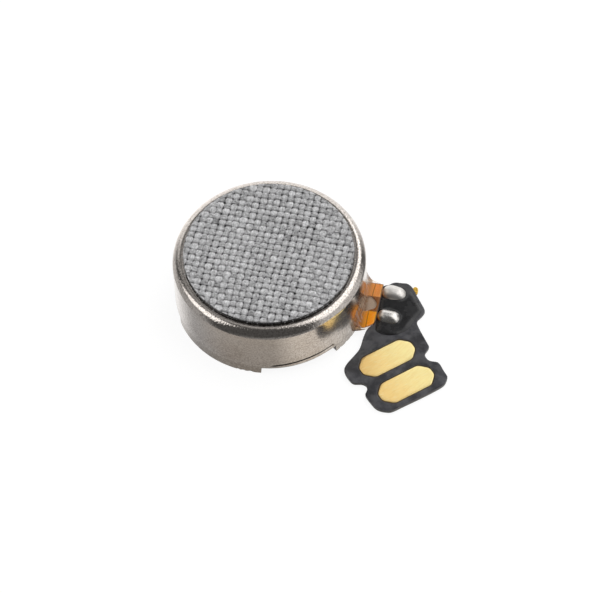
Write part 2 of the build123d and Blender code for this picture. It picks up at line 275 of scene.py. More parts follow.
def plate(name, outline, top, bottom, materials, holes=(), step=0.12, bevel=0.012,
          points=None, angle=35.0):
    """Closed sheet between two surfaces, with rounded edges and an even triangle mesh.

    A second material, when given, covers the edges and the underside.
    """
    loops = [wound(outline)] + [wound(hole, -1) for hole in holes]
    if points is None:
        points = staggered_grid(loops[0], step)
    points = points[within(loops, points)]
    nearest = np.min([distance(loop, points) for loop in loops], axis=0)
    points = points[nearest > bevel + 0.03]
    rims = [offset(loop, bevel) for loop in loops]
    edges, first = [], 0
    for rim in rims:
        count = len(rim)
        edges += [(first + i, first + (i + 1) % count) for i in range(count)]
        first += count
    flat = [Vector(point) for point in np.vstack(rims + [points]).tolist()]
    net = delaunay_2d_cdt(flat, edges, [], 0, 1e-7)
    xy = np.array([list(vert) for vert in net[0]])
    new_index = {old: new for new, olds in enumerate(net[3]) for old in olds}
    triangles = np.array([face for face in net[2] if len(face) == 3])
    triangles = triangles[within(rims, xy[triangles].mean(1))].tolist()
    count = len(xy)
    verts = np.vstack([np.column_stack([xy, surface_z(top, xy)]),
                       np.column_stack([xy, surface_z(bottom, xy)])]).tolist()
    faces = [tuple(tri) for tri in triangles]
    faces += [(c + count, b + count, a + count) for a, b, c in triangles]
    kinds = [0] * len(triangles) + [1] * len(triangles)
    first = 0
    for loop, rim in zip(loops, rims):
        size = len(loop)
        top_row = [new_index[first + i] for i in range(size)]
        rows = [top_row]
        top_z, bottom_z = surface_z(top, rim), surface_z(bottom, rim)
        for inset, drop, hangs in EDGE_ROWS:
            z = top_z - bevel * drop if hangs else bottom_z + bevel * drop
            rows.append(list(range(len(verts), len(verts) + size)))
            verts += np.column_stack([offset(loop, bevel * inset), z]).tolist()
        rows.append([vert + count for vert in top_row])
        for upper, lower in zip(rows[:-1], rows[1:]):
            for i in range(size):
                j = (i + 1) % size
                faces.append((upper[j], upper[i], lower[i], lower[j]))
                kinds.append(1)
        first += size
    return make_object(name, verts, faces, materials, angle,
                       kinds if len(materials) > 1 else None)


# ---------------------------------------------------------------- shader helpers
class Field:
    """Output socket in the node tree being built; arithmetic on it adds Math nodes."""
    tree = None

    def __init__(self, socket):
        self.socket = socket

    def __add__(self, other):
        return calc("ADD", self, other)

    def __radd__(self, other):
        return calc("ADD", other, self)

    def __sub__(self, other):
        return calc("SUBTRACT", self, other)

    def __rsub__(self, other):
        return calc("SUBTRACT", other, self)

    def __mul__(self, other):
        return calc("MULTIPLY", self, other)

    def __truediv__(self, other):
        return calc("DIVIDE", self, other)


def start_tree(owner):
    """Gives a material or world an empty node tree and makes it the one being built."""
    owner.use_nodes = True
    Field.tree = owner.node_tree
    Field.tree.nodes.clear()
    return owner


def new_material(name):
    return start_tree(bpy.data.materials.new(name))


def node(kind, inputs=(), out=0, **settings):
    """Adds a node; inputs maps a socket's name or index to a value or Field."""
    made = Field.tree.nodes.new(kind)
    for name, value in settings.items():
        setattr(made, name, value)
    for key, value in dict(inputs).items():
        socket = made.inputs[key]
        if isinstance(value, Field):
            Field.tree.links.new(value.socket, socket)
        elif socket.type == "RGBA" and len(value) == 3:
            socket.default_value = (*value, 1.0)
        else:
            socket.default_value = value
    return Field(made.outputs[out])


def output(shader, kind="ShaderNodeOutputMaterial"):
    Field.tree.links.new(shader.socket, Field.tree.nodes.new(kind).inputs[0])


def calc(operation, *values):
    return node("ShaderNodeMath", dict(enumerate(values)), operation=operation)


def ramp(value, start, end, to=(0.0, 1.0), smooth=True):
    """Runs between the two values of to while the input runs from start to end."""
    return node("ShaderNodeMapRange", {0: value, 1: start, 2: end, 3: to[0], 4: to[1]},
                interpolation_type="SMOOTHSTEP" if smooth else "LINEAR")


FALL = (1.0, 0.0)


def window(value, low, high, soft):
    return ramp(value, low - soft, low + soft) * ramp(value, high - soft, high + soft, to=FALL)


def object_mm():
    place = node("ShaderNodeTexCoord", out="Object")
    return node("ShaderNodeVectorMath", {0: place, "Scale": 1000.0}, operation="SCALE")


def stretch(vector, factors):
    return node("ShaderNodeVectorMath", {0: vector, 1: factors}, operation="MULTIPLY")


def split(vector):
    first = node("ShaderNodeSeparateXYZ", {0: vector})
    return [Field(socket) for socket in first.socket.node.outputs]


def join(x, y, z):
    return node("ShaderNodeCombineXYZ", {0: x, 1: y, 2: z})


def noise(vector, scale=1.0, detail=3.0, rough=0.6, distortion=0.0):
    return node("ShaderNodeTexNoise", {"Vector": vector, "Scale": scale, "Detail": detail,
                                       "Roughness": rough, "Distortion": distortion})


def cells(vector, scale):
    return node("ShaderNodeTexVoronoi", {"Vector": vector, "Scale": scale})


def attribute_field(name):
    return node("ShaderNodeAttribute", out="Fac", attribute_name=name)


def mix(factor, first, second):
    return node("ShaderNodeMix", {0: factor, 6: first, 7: second}, out=2, data_type="RGBA")


def mix_shader(factor, first, second):
    return node("ShaderNodeMixShader", {0: factor, 1: first, 2: second})


def bump(height, depth, normal=None):
    inputs = {"Height": height, "Distance": depth * MM, "Strength": 1.0}
    if normal is not None:
        inputs["Normal"] = normal
    return node("ShaderNodeBump", inputs)


def principled(**inputs):
    return node("ShaderNodeBsdfPrincipled",
                {name.replace("_", " "): value for name, value in inputs.items()})


def finish(material, **inputs):
    """Ends a material with a Principled shader."""
    output(principled(**inputs))
    return material


def toned(colour, factor):
    return tuple(min(1, part * factor) for part in colour)


def metal(name, base, rough=0.3, vary=0.08, relief=0.002, brush=0.0):
    """Metal with uneven gloss, and brushed lines along X where brush is not 0."""
    material = new_material(name)
    point = object_mm()
    patches = noise(point, scale=0.9, rough=0.55)
    grain = noise(point, scale=14.0)
    height = grain * 0.5
    if brush:
        lines = noise(stretch(point, (1.5, 30.0, 30.0)), detail=2.0, rough=0.5)
        height = height + lines * brush
    return finish(
        material, Metallic=1.0,
        Base_Color=mix(ramp(patches, 0.35, 0.65), toned(base, 0.94), toned(base, 1.06)),
        Roughness=(patches - 0.5) * vary + (grain - 0.5) * (vary * 1.2) + rough,
        Normal=bump(height, depth=relief))


def dielectric(name, base, rough=0.5, relief=0.002, scale=8.0):
    material = new_material(name)
    point = object_mm()
    patches = noise(point, scale=scale * 0.18, rough=0.55)
    grain = noise(point, scale=scale)
    return finish(
        material,
        Base_Color=mix(ramp(patches, 0.3, 0.7), toned(base, 0.88), toned(base, 1.12)),
        Roughness=(grain - 0.5) * 0.25 + rough, Coat_Weight=0.0, Coat_Roughness=0.12,
        Specular_IOR_Level=0.5, Normal=bump(grain, depth=relief))


def patchy(name, dark, light, scale, grain, rough, relief, **inputs):
    """Two colours in patches, with a finer grain in gloss and relief.

    scale is that of the patches; grain holds the noise settings of the grain.
    """
    material = new_material(name)
    point = object_mm()
    patches = noise(point, scale=scale)
    grain = noise(point, **grain)
    return finish(material, Base_Color=mix(patches, dark, light), Roughness=rough + grain * 0.2,
                  Normal=bump(grain, depth=relief), **inputs)


# ---------------------------------------------------------------- 1. drawn case
RIM_WIDTH, RIM_HEIGHT = 0.47, 0.52
RIM_START = CASE_H - RIM_HEIGHT
# Going away from +X on either side, the skirt's lower edge runs: neck exit, short tab,
# recess, long tab, recess. These azimuths part them.
EXIT_END, SHORT_TAB_END, LONG_TAB_START, LONG_TAB_END = STEP_AZIMUTHS = 18.0, 36.4, 84.2, 148.4
RECESS_Z, EXIT_Z = 0.50, 0.75
STEP_HALF = 0.30            # half width of a step's rounded side, degrees
LOW_SKIRT = 0.4             # the skirt counts as a tab below this height
INNER_ROUND = 0.20          # radius of the inner top corner
LID_RADII = (0.001, 1.4, 2.8, 3.9, 4.2, 4.36, 4.44, 4.50, 4.55)
# Section of the groove in the skirt: (height from its middle, depth)
GROOVE = [(0.062, 0.0), (0.042, 0.026), (0.0, 0.036), (-0.042, 0.026), (-0.062, 0.0)]
# Chips in the tabs' lower edge: azimuth, width (degrees), depth, meshed finely
CHIPS = [
    (-91.0, 1.5, 0.075, True), (-95.2, 1.1, 0.06, True), (-98.5, 0.8, 0.05, True),
    (-32.6, 0.5, 0.09, True), (-27.5, 0.9, 0.07, True), (-23.2, 0.6, 0.05, True),
    (-128.0, 0.6, 0.03, False), (-147.2, 0.8, 0.06, True), (112.0, 1.0, 0.05, False),
    (96.0, 0.7, 0.04, False), (24.0, 0.8, 0.05, False),
]


def case_material():
    material = new_material("case_nickel_steel")
    x, y, z = split(object_mm())
    azimuth = calc("ARCTAN2", y, x)
    radius = calc("SQRT", x * x + y * y)
    arc = azimuth * CASE_R                      # arc length from +X, towards +Y
    wall = join(arc, z, radius)
    point = object_mm()
    cloud = noise(stretch(wall, (0.55, 0.9, 0.5)), detail=4.0, rough=0.55)
    streak = noise(stretch(wall, (7.0, 0.7, 3.0)))      # fine drawing marks up the wall
    grain = noise(point, scale=16.0, detail=4.0, rough=0.65)
    rim = ramp(z, RIM_START - 0.10, RIM_START + 0.12)
    low = ramp(z, 0.1, 1.3, to=FALL)
    # painted reflection tint: cooler and a little lighter on the -X side of the front wall, warmer from there
    # round to +X
    warm = mix(ramp(cloud, 0.3, 0.7), (0.560, 0.500, 0.435), (0.690, 0.635, 0.580))
    cool = mix(ramp(cloud, 0.3, 0.7), (0.610, 0.560, 0.530), (0.710, 0.670, 0.645))
    colour = mix(ramp(arc, -11.5, -5.5) * 0.9, cool, warm)
    colour = mix(rim, colour, (0.690, 0.640, 0.600))
    # darker lower edge and grain
    edge = ramp(z + (grain - 0.5) * 0.12, 0.50, 0.62, to=FALL)
    colour = mix(edge * 0.35, colour, (0.30, 0.26, 0.22))
    colour = mix(ramp(grain, 0.35, 0.65, to=(0.16, 0.0)), colour, (0.36, 0.32, 0.28))
    # sandy mottle, and a painted reflection: a lighter band under the rim on the -Y side
    sand = noise(point, scale=10.0, rough=0.7)
    colour = mix(ramp(sand, 0.36, 0.52, to=(0.46, 0.0)), colour, (0.30, 0.265, 0.23))
    colour = mix(ramp(sand, 0.48, 0.64, to=(0.0, 0.30)), colour, (0.95, 0.90, 0.84))
    band = ramp(z, 0.9, 2.9, smooth=False) * window(arc, -11.0, -5.2, soft=1.2)
    colour = mix(band * ramp(rim, 0, 1, to=(0.34, 0.0)), colour, (1.0, 0.93, 0.85))
    # painted shade in the groove and on the steps' sides, and darker chips on the tabs' edge
    groove = ramp(attribute_field("groove"), 0.15, 0.75, to=(0.0, 0.9))
    colour = mix(groove, colour, (0.075, 0.062, 0.052))
    # scattered dark spots
    dots = ramp(cells(point, 3.1), 0.02, 0.075, to=FALL)
    spots = dots * ramp(noise(point, scale=1.3, detail=1.0, rough=0.5), 0.52, 0.64)
    colour = mix(spots * 0.35, colour, (0.34, 0.29, 0.25))
    pits = ramp(cells(point, 8.0), 0.05, 0.55) * ramp(rim, 0, 1, to=(0.10, 1.0))
    height = (grain * ramp(rim, 0, 1, to=(0.26, 0.75)) + streak * 0.25
              + noise(point, scale=5.0, detail=2.0, rough=0.5) * 0.40 + pits * 0.55)
    return finish(
        material, Base_Color=colour, Metallic=1.0, Normal=bump(height, depth=0.0060),
        Roughness=0.19 + (cloud - 0.5) * 0.14 + (grain - 0.5) * 0.12 + rim * -0.06 + low * 0.05)


def skirt_z(azimuth):
    """Height of the skirt's lower edge, with its chips and unevenness."""
    wrapped = (azimuth + 180.0) % 360.0 - 180.0

    def past(step):
        return smoothstep(step - STEP_HALF, step + STEP_HALF, abs(wrapped))

    z = EXIT_Z * (1 - past(EXIT_END))
    z += RECESS_Z * past(SHORT_TAB_END) * (1 - past(LONG_TAB_START))
    z += RECESS_Z * past(LONG_TAB_END)
    z = float(z)
    for place, width, depth, _ in CHIPS:
        if z < LOW_SKIRT:
            z += depth * math.exp(-((wrapped - place) / width) ** 2)
    if z < LOW_SKIRT:
        z += 0.010 * abs(perlin(azimuth * 0.9, 3.3)) + 0.008 * abs(perlin(azimuth * 3.1, 7.3))
    else:
        z += 0.008 * perlin(azimuth * 0.35, 9.1)
    return max(0.0, z)


def case_azimuths():
    """Even azimuths, closer together at the skirt's steps and chips."""
    found = set(np.round(np.arange(-180, 180, 0.6), 3).tolist())
    for step in STEP_AZIMUTHS:
        for sign in (1, -1):
            found |= set(np.round(sign * step + np.linspace(-0.34, 0.34, 9), 3).tolist())
    for place, _, _, fine in CHIPS:
        if fine:
            found |= set(np.round(place + np.linspace(-1.6, 1.6, 17), 3).tolist())
    azimuths = np.array(sorted(a for a in found if -180 <= a < 180))
    return azimuths[np.concatenate([[True], np.diff(azimuths) > 0.03])]


def case_section(azimuth, bottom, groove_cut):
    """Closed section as (radius, z), and the indices of its groove rows."""
    rows = [(radius, CASE_H) for radius in LID_RADII]
    for k in range(17):
        turn = math.radians(90 - 90 * k / 16)
        rows.append((CASE_R - RIM_WIDTH + RIM_WIDTH * math.cos(turn),
                     RIM_START + RIM_HEIGHT * math.sin(turn)))
    groove_z = 0.64 + 0.15 * float(smoothstep(-82.0, -45.0, azimuth))
    groove_z = max(groove_z, bottom + 0.135)
    rows += [(CASE_R, RIM_START + (groove_z + 0.08 - RIM_START) * k / 11) for k in range(1, 12)]
    first = len(rows)
    rows += [(CASE_R - depth * groove_cut, groove_z + rise) for rise, depth in GROOVE]
    groove_rows = range(first + 1, len(rows) - 1)
    inner = CASE_R - WALL
    rows += [(CASE_R, bottom + 0.062), (CASE_R, bottom + 0.03), (CASE_R - 0.006, bottom + 0.008),
             (CASE_R - 0.03, bottom), (CASE_R - WALL + 0.03, bottom), (inner, bottom + 0.03)]
    for k in range(1, 5):
        rows.append((inner, bottom + 0.03
                     + (CASE_H - WALL - INNER_ROUND - bottom - 0.03) * k / 4))
    for k in range(1, 6):
        turn = math.radians(90 * k / 5)
        rows.append((inner - INNER_ROUND + INNER_ROUND * math.cos(turn),
                     CASE_H - WALL - INNER_ROUND + INNER_ROUND * math.sin(turn)))
    rows += [(radius, CASE_H - WALL) for radius in (3.0, 0.9, 0.001)]
    return rows, groove_rows


def darkness(azimuth, radius, z, bottom, start):
    """Darkness at a point of the case: the given value, or more at chips, and painted shade on the steps' sides.
    """
    dark = start
    if z < bottom + 0.05 and radius > CASE_R - 0.05 and bottom < LOW_SKIRT:
        for place, width, _, _ in CHIPS:
            dark = max(dark, 0.9 * math.exp(-((azimuth - place) / (1.3 * width)) ** 2))
    for step in STEP_AZIMUTHS:
        if (abs(abs(azimuth) - step) < STEP_HALF and z < 0.42 + bottom * 0.2
                and bottom > 0.02):
            dark = 1.0
    return dark


def build_case():
    azimuths = case_azimuths()
    verts, dark = [], []
    for azimuth in azimuths:
        cos, sin = math.cos(math.radians(azimuth)), math.sin(math.radians(azimuth))
        bottom = skirt_z(azimuth)
        groove_cut = float(smoothstep(-80.5, -74.0, azimuth)
                           * (1 - smoothstep(-38.6, -37.2, azimuth)))
        rows, groove_rows = case_section(azimuth, bottom, groove_cut)
        for k, (radius, z) in enumerate(rows):
            # the groove rows start with painted shade, as deep as the groove's cut
            start = groove_cut if k in groove_rows else 0.0
            dark.append(darkness(azimuth, radius, z, bottom, start))
            # the wall is a few microns out of round, which bends its reflections
            swell = 0.0
            if radius > 4.3:
                swell = (0.0035 * perlin(cos * 1.6, sin * 1.6, z * 0.5)
                         + 0.0016 * perlin(cos * 6, sin * 6, z * 1.2 + 4))
                swell = min(swell, 0.0) if radius >= CASE_R else swell
            verts.append(((radius + swell) * cos, (radius + swell) * sin, z))
    size, count = len(azimuths), len(rows)
    faces = ring_faces(size, count, closed=False)
    # close the lid's outer and inner face at the axis
    faces.append(tuple(i * count for i in range(size)))
    faces.append(tuple(i * count + count - 1 for i in reversed(range(size))))
    shell = make_object("case_shell", verts, faces, [case_material()], angle=50)
    point_attribute(shell.data, "groove", dark)
    register(shell, ["case_cup"])


build_case()


# ---------------------------------------------------------------- 2. woven pad
# A plain weave of single yarns cut to a circle. Warp yarns run along Y, weft along X.
HALF_COUNT = 14                         # yarns on each side of the middle one
YARNS = 2 * HALF_COUNT + 1
WEAVE_TURN = math.radians(-1.7)
WEAVE_Z = (PAD_Z0 + PAD_Z1) / 2 - 0.006
YARN_HALF_HEIGHT = 0.054
SAMPLES = 8                             # along a yarn, from crossing to crossing
SIDES = 12                              # of a yarn
HAIR_SIDES = 4
# swing: rise over a crossing; width: half width; flare: widening where the yarn is on top;
# sign: 1 when it is on top at even crossings; slubs: thicker, lighter yarns
WARP = dict(pitch=0.3495, swing=0.043, width=0.170, tone=0.655, flare=0.15, sign=1.0,
            slubs=(3, 9, 10, 15, 20, 24), slub_width=1.07, slub_tone=0.05)
WEFT = dict(pitch=0.3520, swing=0.041, width=0.158, tone=0.530, flare=0.07, sign=-1.0,
            slubs=(6, 13, 21), slub_width=1.05, slub_tone=0.03)


def fabric_material():
    material = new_material("pad_plain_weave")
    yarn = node("ShaderNodeUVMap", uv_map="yarn")
    tone, lift = attribute_field("tone"), attribute_field("lift")
    point = object_mm()
    fibre = noise(stretch(yarn, (2.0, 19.0, 1.0)), rough=0.65)
    fuzz = noise(point, scale=8.5, detail=4.0, rough=0.7)
    patch = noise(point, scale=0.8, detail=2.0, rough=0.5)
    value = tone + (fibre - 0.5) * 1.0 + (fuzz - 0.5) * 1.40 + (patch - 0.5) * 0.10
    # painted shade and light: darker low on each yarn and where it dives, lighter on its crown
    value = value * ramp(lift, 0.10, 0.82, to=(0.10, 1.045), smooth=False)
    return finish(
        material, Roughness=0.82, Specular_IOR_Level=0.25,
        Base_Color=mix(ramp(value, 0.0, 1.0, smooth=False), (0.0, 0.0, 0.0), (0.985, 0.985, 1.0)),
        Sheen_Weight=0.25, Sheen_Roughness=0.5, Sheen_Tint=(0.9, 0.9, 0.92),
        Normal=bump(fibre * 1.0 + fuzz * 0.5, depth=0.020))


def between(values, index, part):
    return values[index] * (1 - part) + values[index + 1] * part


def unit(vectors):
    return vectors / np.maximum(np.linalg.norm(vectors, axis=-1, keepdims=True), 1e-9)


def path_frame(path):
    """Sideways and upward unit vectors along a path."""
    tangent = unit(np.gradient(path, axis=0))
    side = unit(np.cross(tangent, np.array([0, 0, 1.0])))
    return side, np.cross(side, tangent)


class Cloth:
    """Yarns and hairs gathered into the data of one mesh."""

    def __init__(self):
        self.verts, self.faces, self.uvs, self.tones, self.lifts = [], [], [], [], []
        self.ends = []      # cut yarn ends: place, outward, sideways, half width, tone

    def add_point(self, point, tone, lift, uv):
        cos, sin = math.cos(WEAVE_TURN), math.sin(WEAVE_TURN)
        x, y, z = point
        self.verts.append((x * cos - y * sin, x * sin + y * cos, z))
        self.tones.append(tone)
        self.lifts.append(lift)
        self.uvs.append(uv)

    def add_tube_faces(self, first, rings, sides):
        """Skins the rings of points that start at first, and caps both ends."""
        for i in range(rings - 1):
            here, there = first + i * sides, first + (i + 1) * sides
            for q in range(sides):
                after = (q + 1) % sides
                self.faces.append((here + q, here + after, there + after, there + q))
        self.faces.append(tuple(first + q for q in reversed(range(sides))))
        self.faces.append(tuple(first + (rings - 1) * sides + q for q in range(sides)))

    def add_hair(self, path, radius, tone):
        first, path = len(self.verts), np.array(path)
        side, up = path_frame(path)
        for i in range(len(path)):
            size = radius * (1.0 if i < len(path) - 1 else 0.4)
            for q in range(HAIR_SIDES):
                turn = q * math.pi / 2 + 0.4
                point = path[i] + side[i] * size * math.cos(turn) + up[i] * size * math.sin(turn)
                self.add_point(point, tone, lift=0.8, uv=(i * 0.02, q * 0.02))
        self.add_tube_faces(first, len(path), HAIR_SIDES)


def yarn_samples(kind, k, nodes, rng):
    """Rows of x, y, z, half width, half height, tone and lift along yarn k."""
    signs = np.where((k + np.arange(YARNS)) % 2 == 0, 1.0, -1.0) * kind["sign"]
    swings = signs * (kind["swing"] * (1 + 0.10 * rng.normal(size=YARNS)))
    widths = kind["width"] * kind["wide"][k] * (1 + 0.055 * rng.normal(size=YARNS))
    tones = kind["tone"] + kind["tones"][k] + 0.055 * rng.normal(size=YARNS)
    rows = []
    for q in range(YARNS - 1):
        a, b = nodes[max(q - 1, 0)], nodes[q]
        c, d = nodes[q + 1], nodes[min(q + 2, YARNS - 1)]
        for step in range(SAMPLES):
            u = step / SAMPLES
            xy = 0.5 * ((2 * b) + (c - a) * u + (2 * a - 5 * b + 4 * c - d) * u * u
                        + (3 * b - a - 3 * c + d) * u ** 3)
            ease = 0.5 - 0.5 * math.cos(math.pi * u)
            z = between(swings, q, ease)
            crown = 0.5 + 0.5 * math.cos(2 * math.pi * u)
            flare = kind["flare"] * max(between(signs, q, ease), 0.0) * crown
            rows.append((
                xy[0], xy[1], WEAVE_Z + z,
                between(widths, q, ease) * (0.90 + 0.06 * crown + flare),
                YARN_HALF_HEIGHT * (0.94 + 0.06 * crown),
                between(tones, q, ease), z / kind["swing"]))
    return np.array(rows)


def cut_span(radii, cut):
    """Start and end, in samples, of the part of a line inside the cut circle."""
    kept = np.where(radii < cut)[0]
    last = len(radii) - 1
    if len(kept) < 2:
        middle = int(np.argmin(radii))
        return max(middle - 2.0, 0.0), min(middle + 2.0, float(last))
    i, j = int(kept[0]), int(kept[-1])
    start = i - ((cut - radii[i]) / (radii[i - 1] - radii[i]) if i > 0 else 0.0)
    end = j + ((cut - radii[j]) / (radii[j + 1] - radii[j]) if j < last else 0.0)
    return start, end


def add_yarn(cloth, kind, k, nodes, rng):
    samples = yarn_samples(kind, k, nodes, rng)
    reach = np.hypot(samples[:, 0], samples[:, 1])
    cut = PAD_R - 0.006 + rng.normal(0, 0.005)
    kept = np.where(reach < cut + 0.40)[0]
    if len(kept) < 8:
        return
    samples = samples[kept[0]:kept[-1] + 1]
    path = samples[:, :3]
    width, height, tone, lift = samples[:, 3:].T
    side, up = path_frame(path)
    arc = np.r_[0, np.cumsum(np.linalg.norm(np.diff(path, axis=0), axis=1))]
    to_cut = np.maximum(cut - np.hypot(path[:, 0], path[:, 1]), 0)
    width = width * (1 + 0.08 * np.exp(-to_cut / 0.09))
    height = height * (1 - 0.18 * np.exp(-to_cut / 0.05))
    # section: an ellipse swollen towards a rectangle
    turn = np.arange(SIDES) * 2 * math.pi / SIDES
    cos, sin = np.cos(turn), np.sin(turn)
    section_x = np.sign(cos) * np.abs(cos) ** 0.64
    section_z = np.sign(sin) * np.abs(sin) ** 0.72
    skin = (path[:, None] + side[:, None] * (section_x[None, :, None] * width[:, None, None])
            + up[:, None] * (section_z[None, :, None] * height[:, None, None]))
    sag = (0.010 * rng.random() * np.exp(-to_cut / 0.3))[:, None]
    skin[:, :, 2] = np.maximum(skin[:, :, 2] - sag, PAD_Z0 + 0.002)
    # each line along the yarn stops at the cut
    radii = np.hypot(skin[:, :, 0], skin[:, :, 1])
    spans = [cut_span(radii[:, q], cut) for q in range(SIDES)]
    length = max(end for _, end in spans) - min(start for start, _ in spans)
    count = max(6, int(math.ceil(length)) + 1)
    first = len(cloth.verts)
    rings = np.zeros((count, SIDES, 3))
    for i in range(count):
        for q, (start, end) in enumerate(spans):
            place = start + (end - start) * i / (count - 1)
            j = min(int(place), len(path) - 2)
            part = place - j
            point = between(skin[:, q], j, part)
            radius = math.hypot(point[0], point[1])
            if radius > cut:
                point = np.array([point[0] * cut / radius, point[1] * cut / radius, point[2]])
            rings[i, q] = point
            cloth.add_point(point, between(tone, j, part),
                            between(lift, j, part) * 0.5 + 0.5 * section_z[q],
                            (between(arc, j, part) + k * 3.7, q / SIDES * 0.55 + k * 1.3))
    cloth.add_tube_faces(first, count, SIDES)
    for end, inner in ((0, 1), (count - 1, count - 2)):
        centre = rings[end].mean(0)
        outward = unit(centre - rings[inner].mean(0))
        sideways = unit(np.cross(outward, [0, 0, 1.0]))
        cloth.ends.append((centre, outward, sideways, width[0] * 0.9, tone[0]))


def add_yarns(cloth):
    rng = np.random.default_rng(5)
    square = (YARNS, YARNS)
    dx = rng.normal(0, 0.012, square) + rng.normal(0, 0.014, (YARNS, 1))
    dy = rng.normal(0, 0.012, square) + rng.normal(0, 0.014, (1, YARNS))
    # slow drift of the yarns across the pad
    i, j = np.meshgrid(np.arange(YARNS), np.arange(YARNS), indexing="ij")
    dx += 0.030 * np.sin(j * 0.33 + i * 0.05 + 0.8) + 0.016 * np.sin(j * 0.11 + i * 0.4)
    dy += 0.034 * np.sin(i * 0.27 + j * 0.07 + 2.1) + 0.014 * np.sin(i * 0.6 + j * 0.2)
    crossings = np.stack([(i - HALF_COUNT) * WARP["pitch"] + dx,
                          (j - HALF_COUNT) * WEFT["pitch"] + dy], -1)
    for kind in (WARP, WEFT):
        kind["wide"] = rng.normal(1.0, 0.055, YARNS)
    for kind in (WARP, WEFT):
        kind["tones"] = rng.normal(0.0, 0.018, YARNS)
        for k in kind["slubs"]:
            kind["wide"][k] *= kind["slub_width"]
            kind["tones"][k] += kind["slub_tone"]
    for kind in (WEFT, WARP):
        for k in range(YARNS):
            if abs(k - HALF_COUNT) * kind["pitch"] < PAD_R - 0.12:
                nodes = crossings[k] if kind is WARP else crossings[:, k]
                add_yarn(cloth, kind, k, nodes, rng)


def add_hairs(cloth):
    rng = np.random.default_rng(11)
    for place, outward, sideways, width, tone in cloth.ends:        # frayed ends
        for _ in range(int(rng.integers(2, 6))):
            shift = rng.uniform(-0.9, 0.9)
            start = (place + sideways * shift * width - outward * 0.03
                     + np.array([0, 0, rng.uniform(-0.03, 0.03)]))
            short = rng.random() < 0.93
            length = rng.uniform(0.03, 0.085) if short else rng.uniform(0.09, 0.15)
            curl = rng.normal(0, 0.35)
            heading = outward + sideways * curl + np.array([0, 0, rng.uniform(-0.5, 0.25)])
            path = [start + heading * length * f + sideways * curl * length * f * f * 0.8
                    for f in (0, 0.35, 0.7, 1.0)]
            path = [np.array([x, y, max(z, PAD_Z0 - 0.035)]) for x, y, z in path]
            cloth.add_hair(path, rng.uniform(0.005, 0.009), tone + rng.uniform(0.0, 0.16))
    for _ in range(150):                                # loose fibres lying on the cloth
        azimuth = rng.uniform(0, 2 * math.pi)
        radius = PAD_R * math.sqrt(rng.uniform(0, 0.97))
        start = np.array([radius * math.cos(azimuth), radius * math.sin(azimuth),
                          PAD_Z1 - rng.uniform(0.006, 0.022)])
        heading = rng.uniform(0, 2 * math.pi)
        length, curl = rng.uniform(0.08, 0.32), rng.normal(0, 2.2)
        path = []
        for f in np.linspace(0, 1, 7):
            turn = heading + curl * f
            path.append(start + np.array([math.cos(turn), math.sin(turn), 0]) * length * f
                        + np.array([0, 0, 0.014 * math.sin(math.pi * f)]))
        if all(math.hypot(x, y) < PAD_R for x, y, _ in path):
            cloth.add_hair(path, rng.uniform(0.0035, 0.006), rng.uniform(0.42, 0.72))


def build_weave():
    cloth = Cloth()
    add_yarns(cloth)
    add_hairs(cloth)
    mesh = bpy.data.meshes.new("pad_weave")
    mesh.from_pydata(metres(cloth.verts), [], cloth.faces)
    layer = mesh.uv_layers.new(name="yarn")
    corners = np.empty(len(mesh.loops), np.int32)
    mesh.loops.foreach_get("vertex_index", corners)
    layer.data.foreach_set("uv", np.asarray(cloth.uvs, np.float32)[corners].ravel())
    point_attribute(mesh, "tone", cloth.tones)
    point_attribute(mesh, "lift", cloth.lifts)
    mesh.polygons.foreach_set("use_smooth", np.ones(len(mesh.polygons), bool))
    mesh.materials.append(fabric_material())
    mesh.update()
    register(link_object("pad_weave", mesh), ["fabric_pad"])


def backing_material():
    material = new_material("pad_backing_film_and_edge_shade")
    grain = noise(object_mm(), scale=9.0)
    # near black: partly the layer's own colour, partly painted shade at the pad's edge
    return finish(material, Base_Color=mix(grain, (0.016, 0.016, 0.017), (0.05, 0.05, 0.052)),
                  Roughness=0.7, Normal=bump(grain, depth=0.01))


def build_backing():
    """Dark layer under the cloth, with a slightly ragged edge; its dark side is partly painted shade along the
    pad's edge.
    """
    # edge section: (height above the pad's underside, radius beyond the pad's)
    edge = [(0.001, -0.045), (0.015, -0.030), (0.05, -0.026), (0.072, -0.036), (0.080, -0.06)]
    segments, face_radius = 360, 3.0
    verts, faces = [], []
    for i in range(segments):
        turn = 2 * math.pi * i / segments
        cos, sin = math.cos(turn), math.sin(turn)
        for rise, beyond in edge:
            z = PAD_Z0 + rise
            radius = PAD_R + beyond + 0.007 * perlin(cos * 9, sin * 9, z * 20)
            verts.append((radius * cos, radius * sin, z))
        for rise in (edge[-1][0], edge[0][0]):
            verts.append((face_radius * cos, face_radius * sin, PAD_Z0 + rise))
    count = len(edge) + 2
    for i in range(segments):
        here, there = i * count, (i + 1) % segments * count
        faces += [strip_quad(here + k, there + k) for k in range(count - 2)]
        faces.append((here + count - 1, there + count - 1, there, here))
    faces.append(tuple(i * count + count - 2 for i in range(segments)))
    faces.append(tuple(i * count + count - 1 for i in reversed(range(segments))))
    register(make_object("pad_backing", verts, faces, [backing_material()], angle=60))


build_weave()
build_backing()


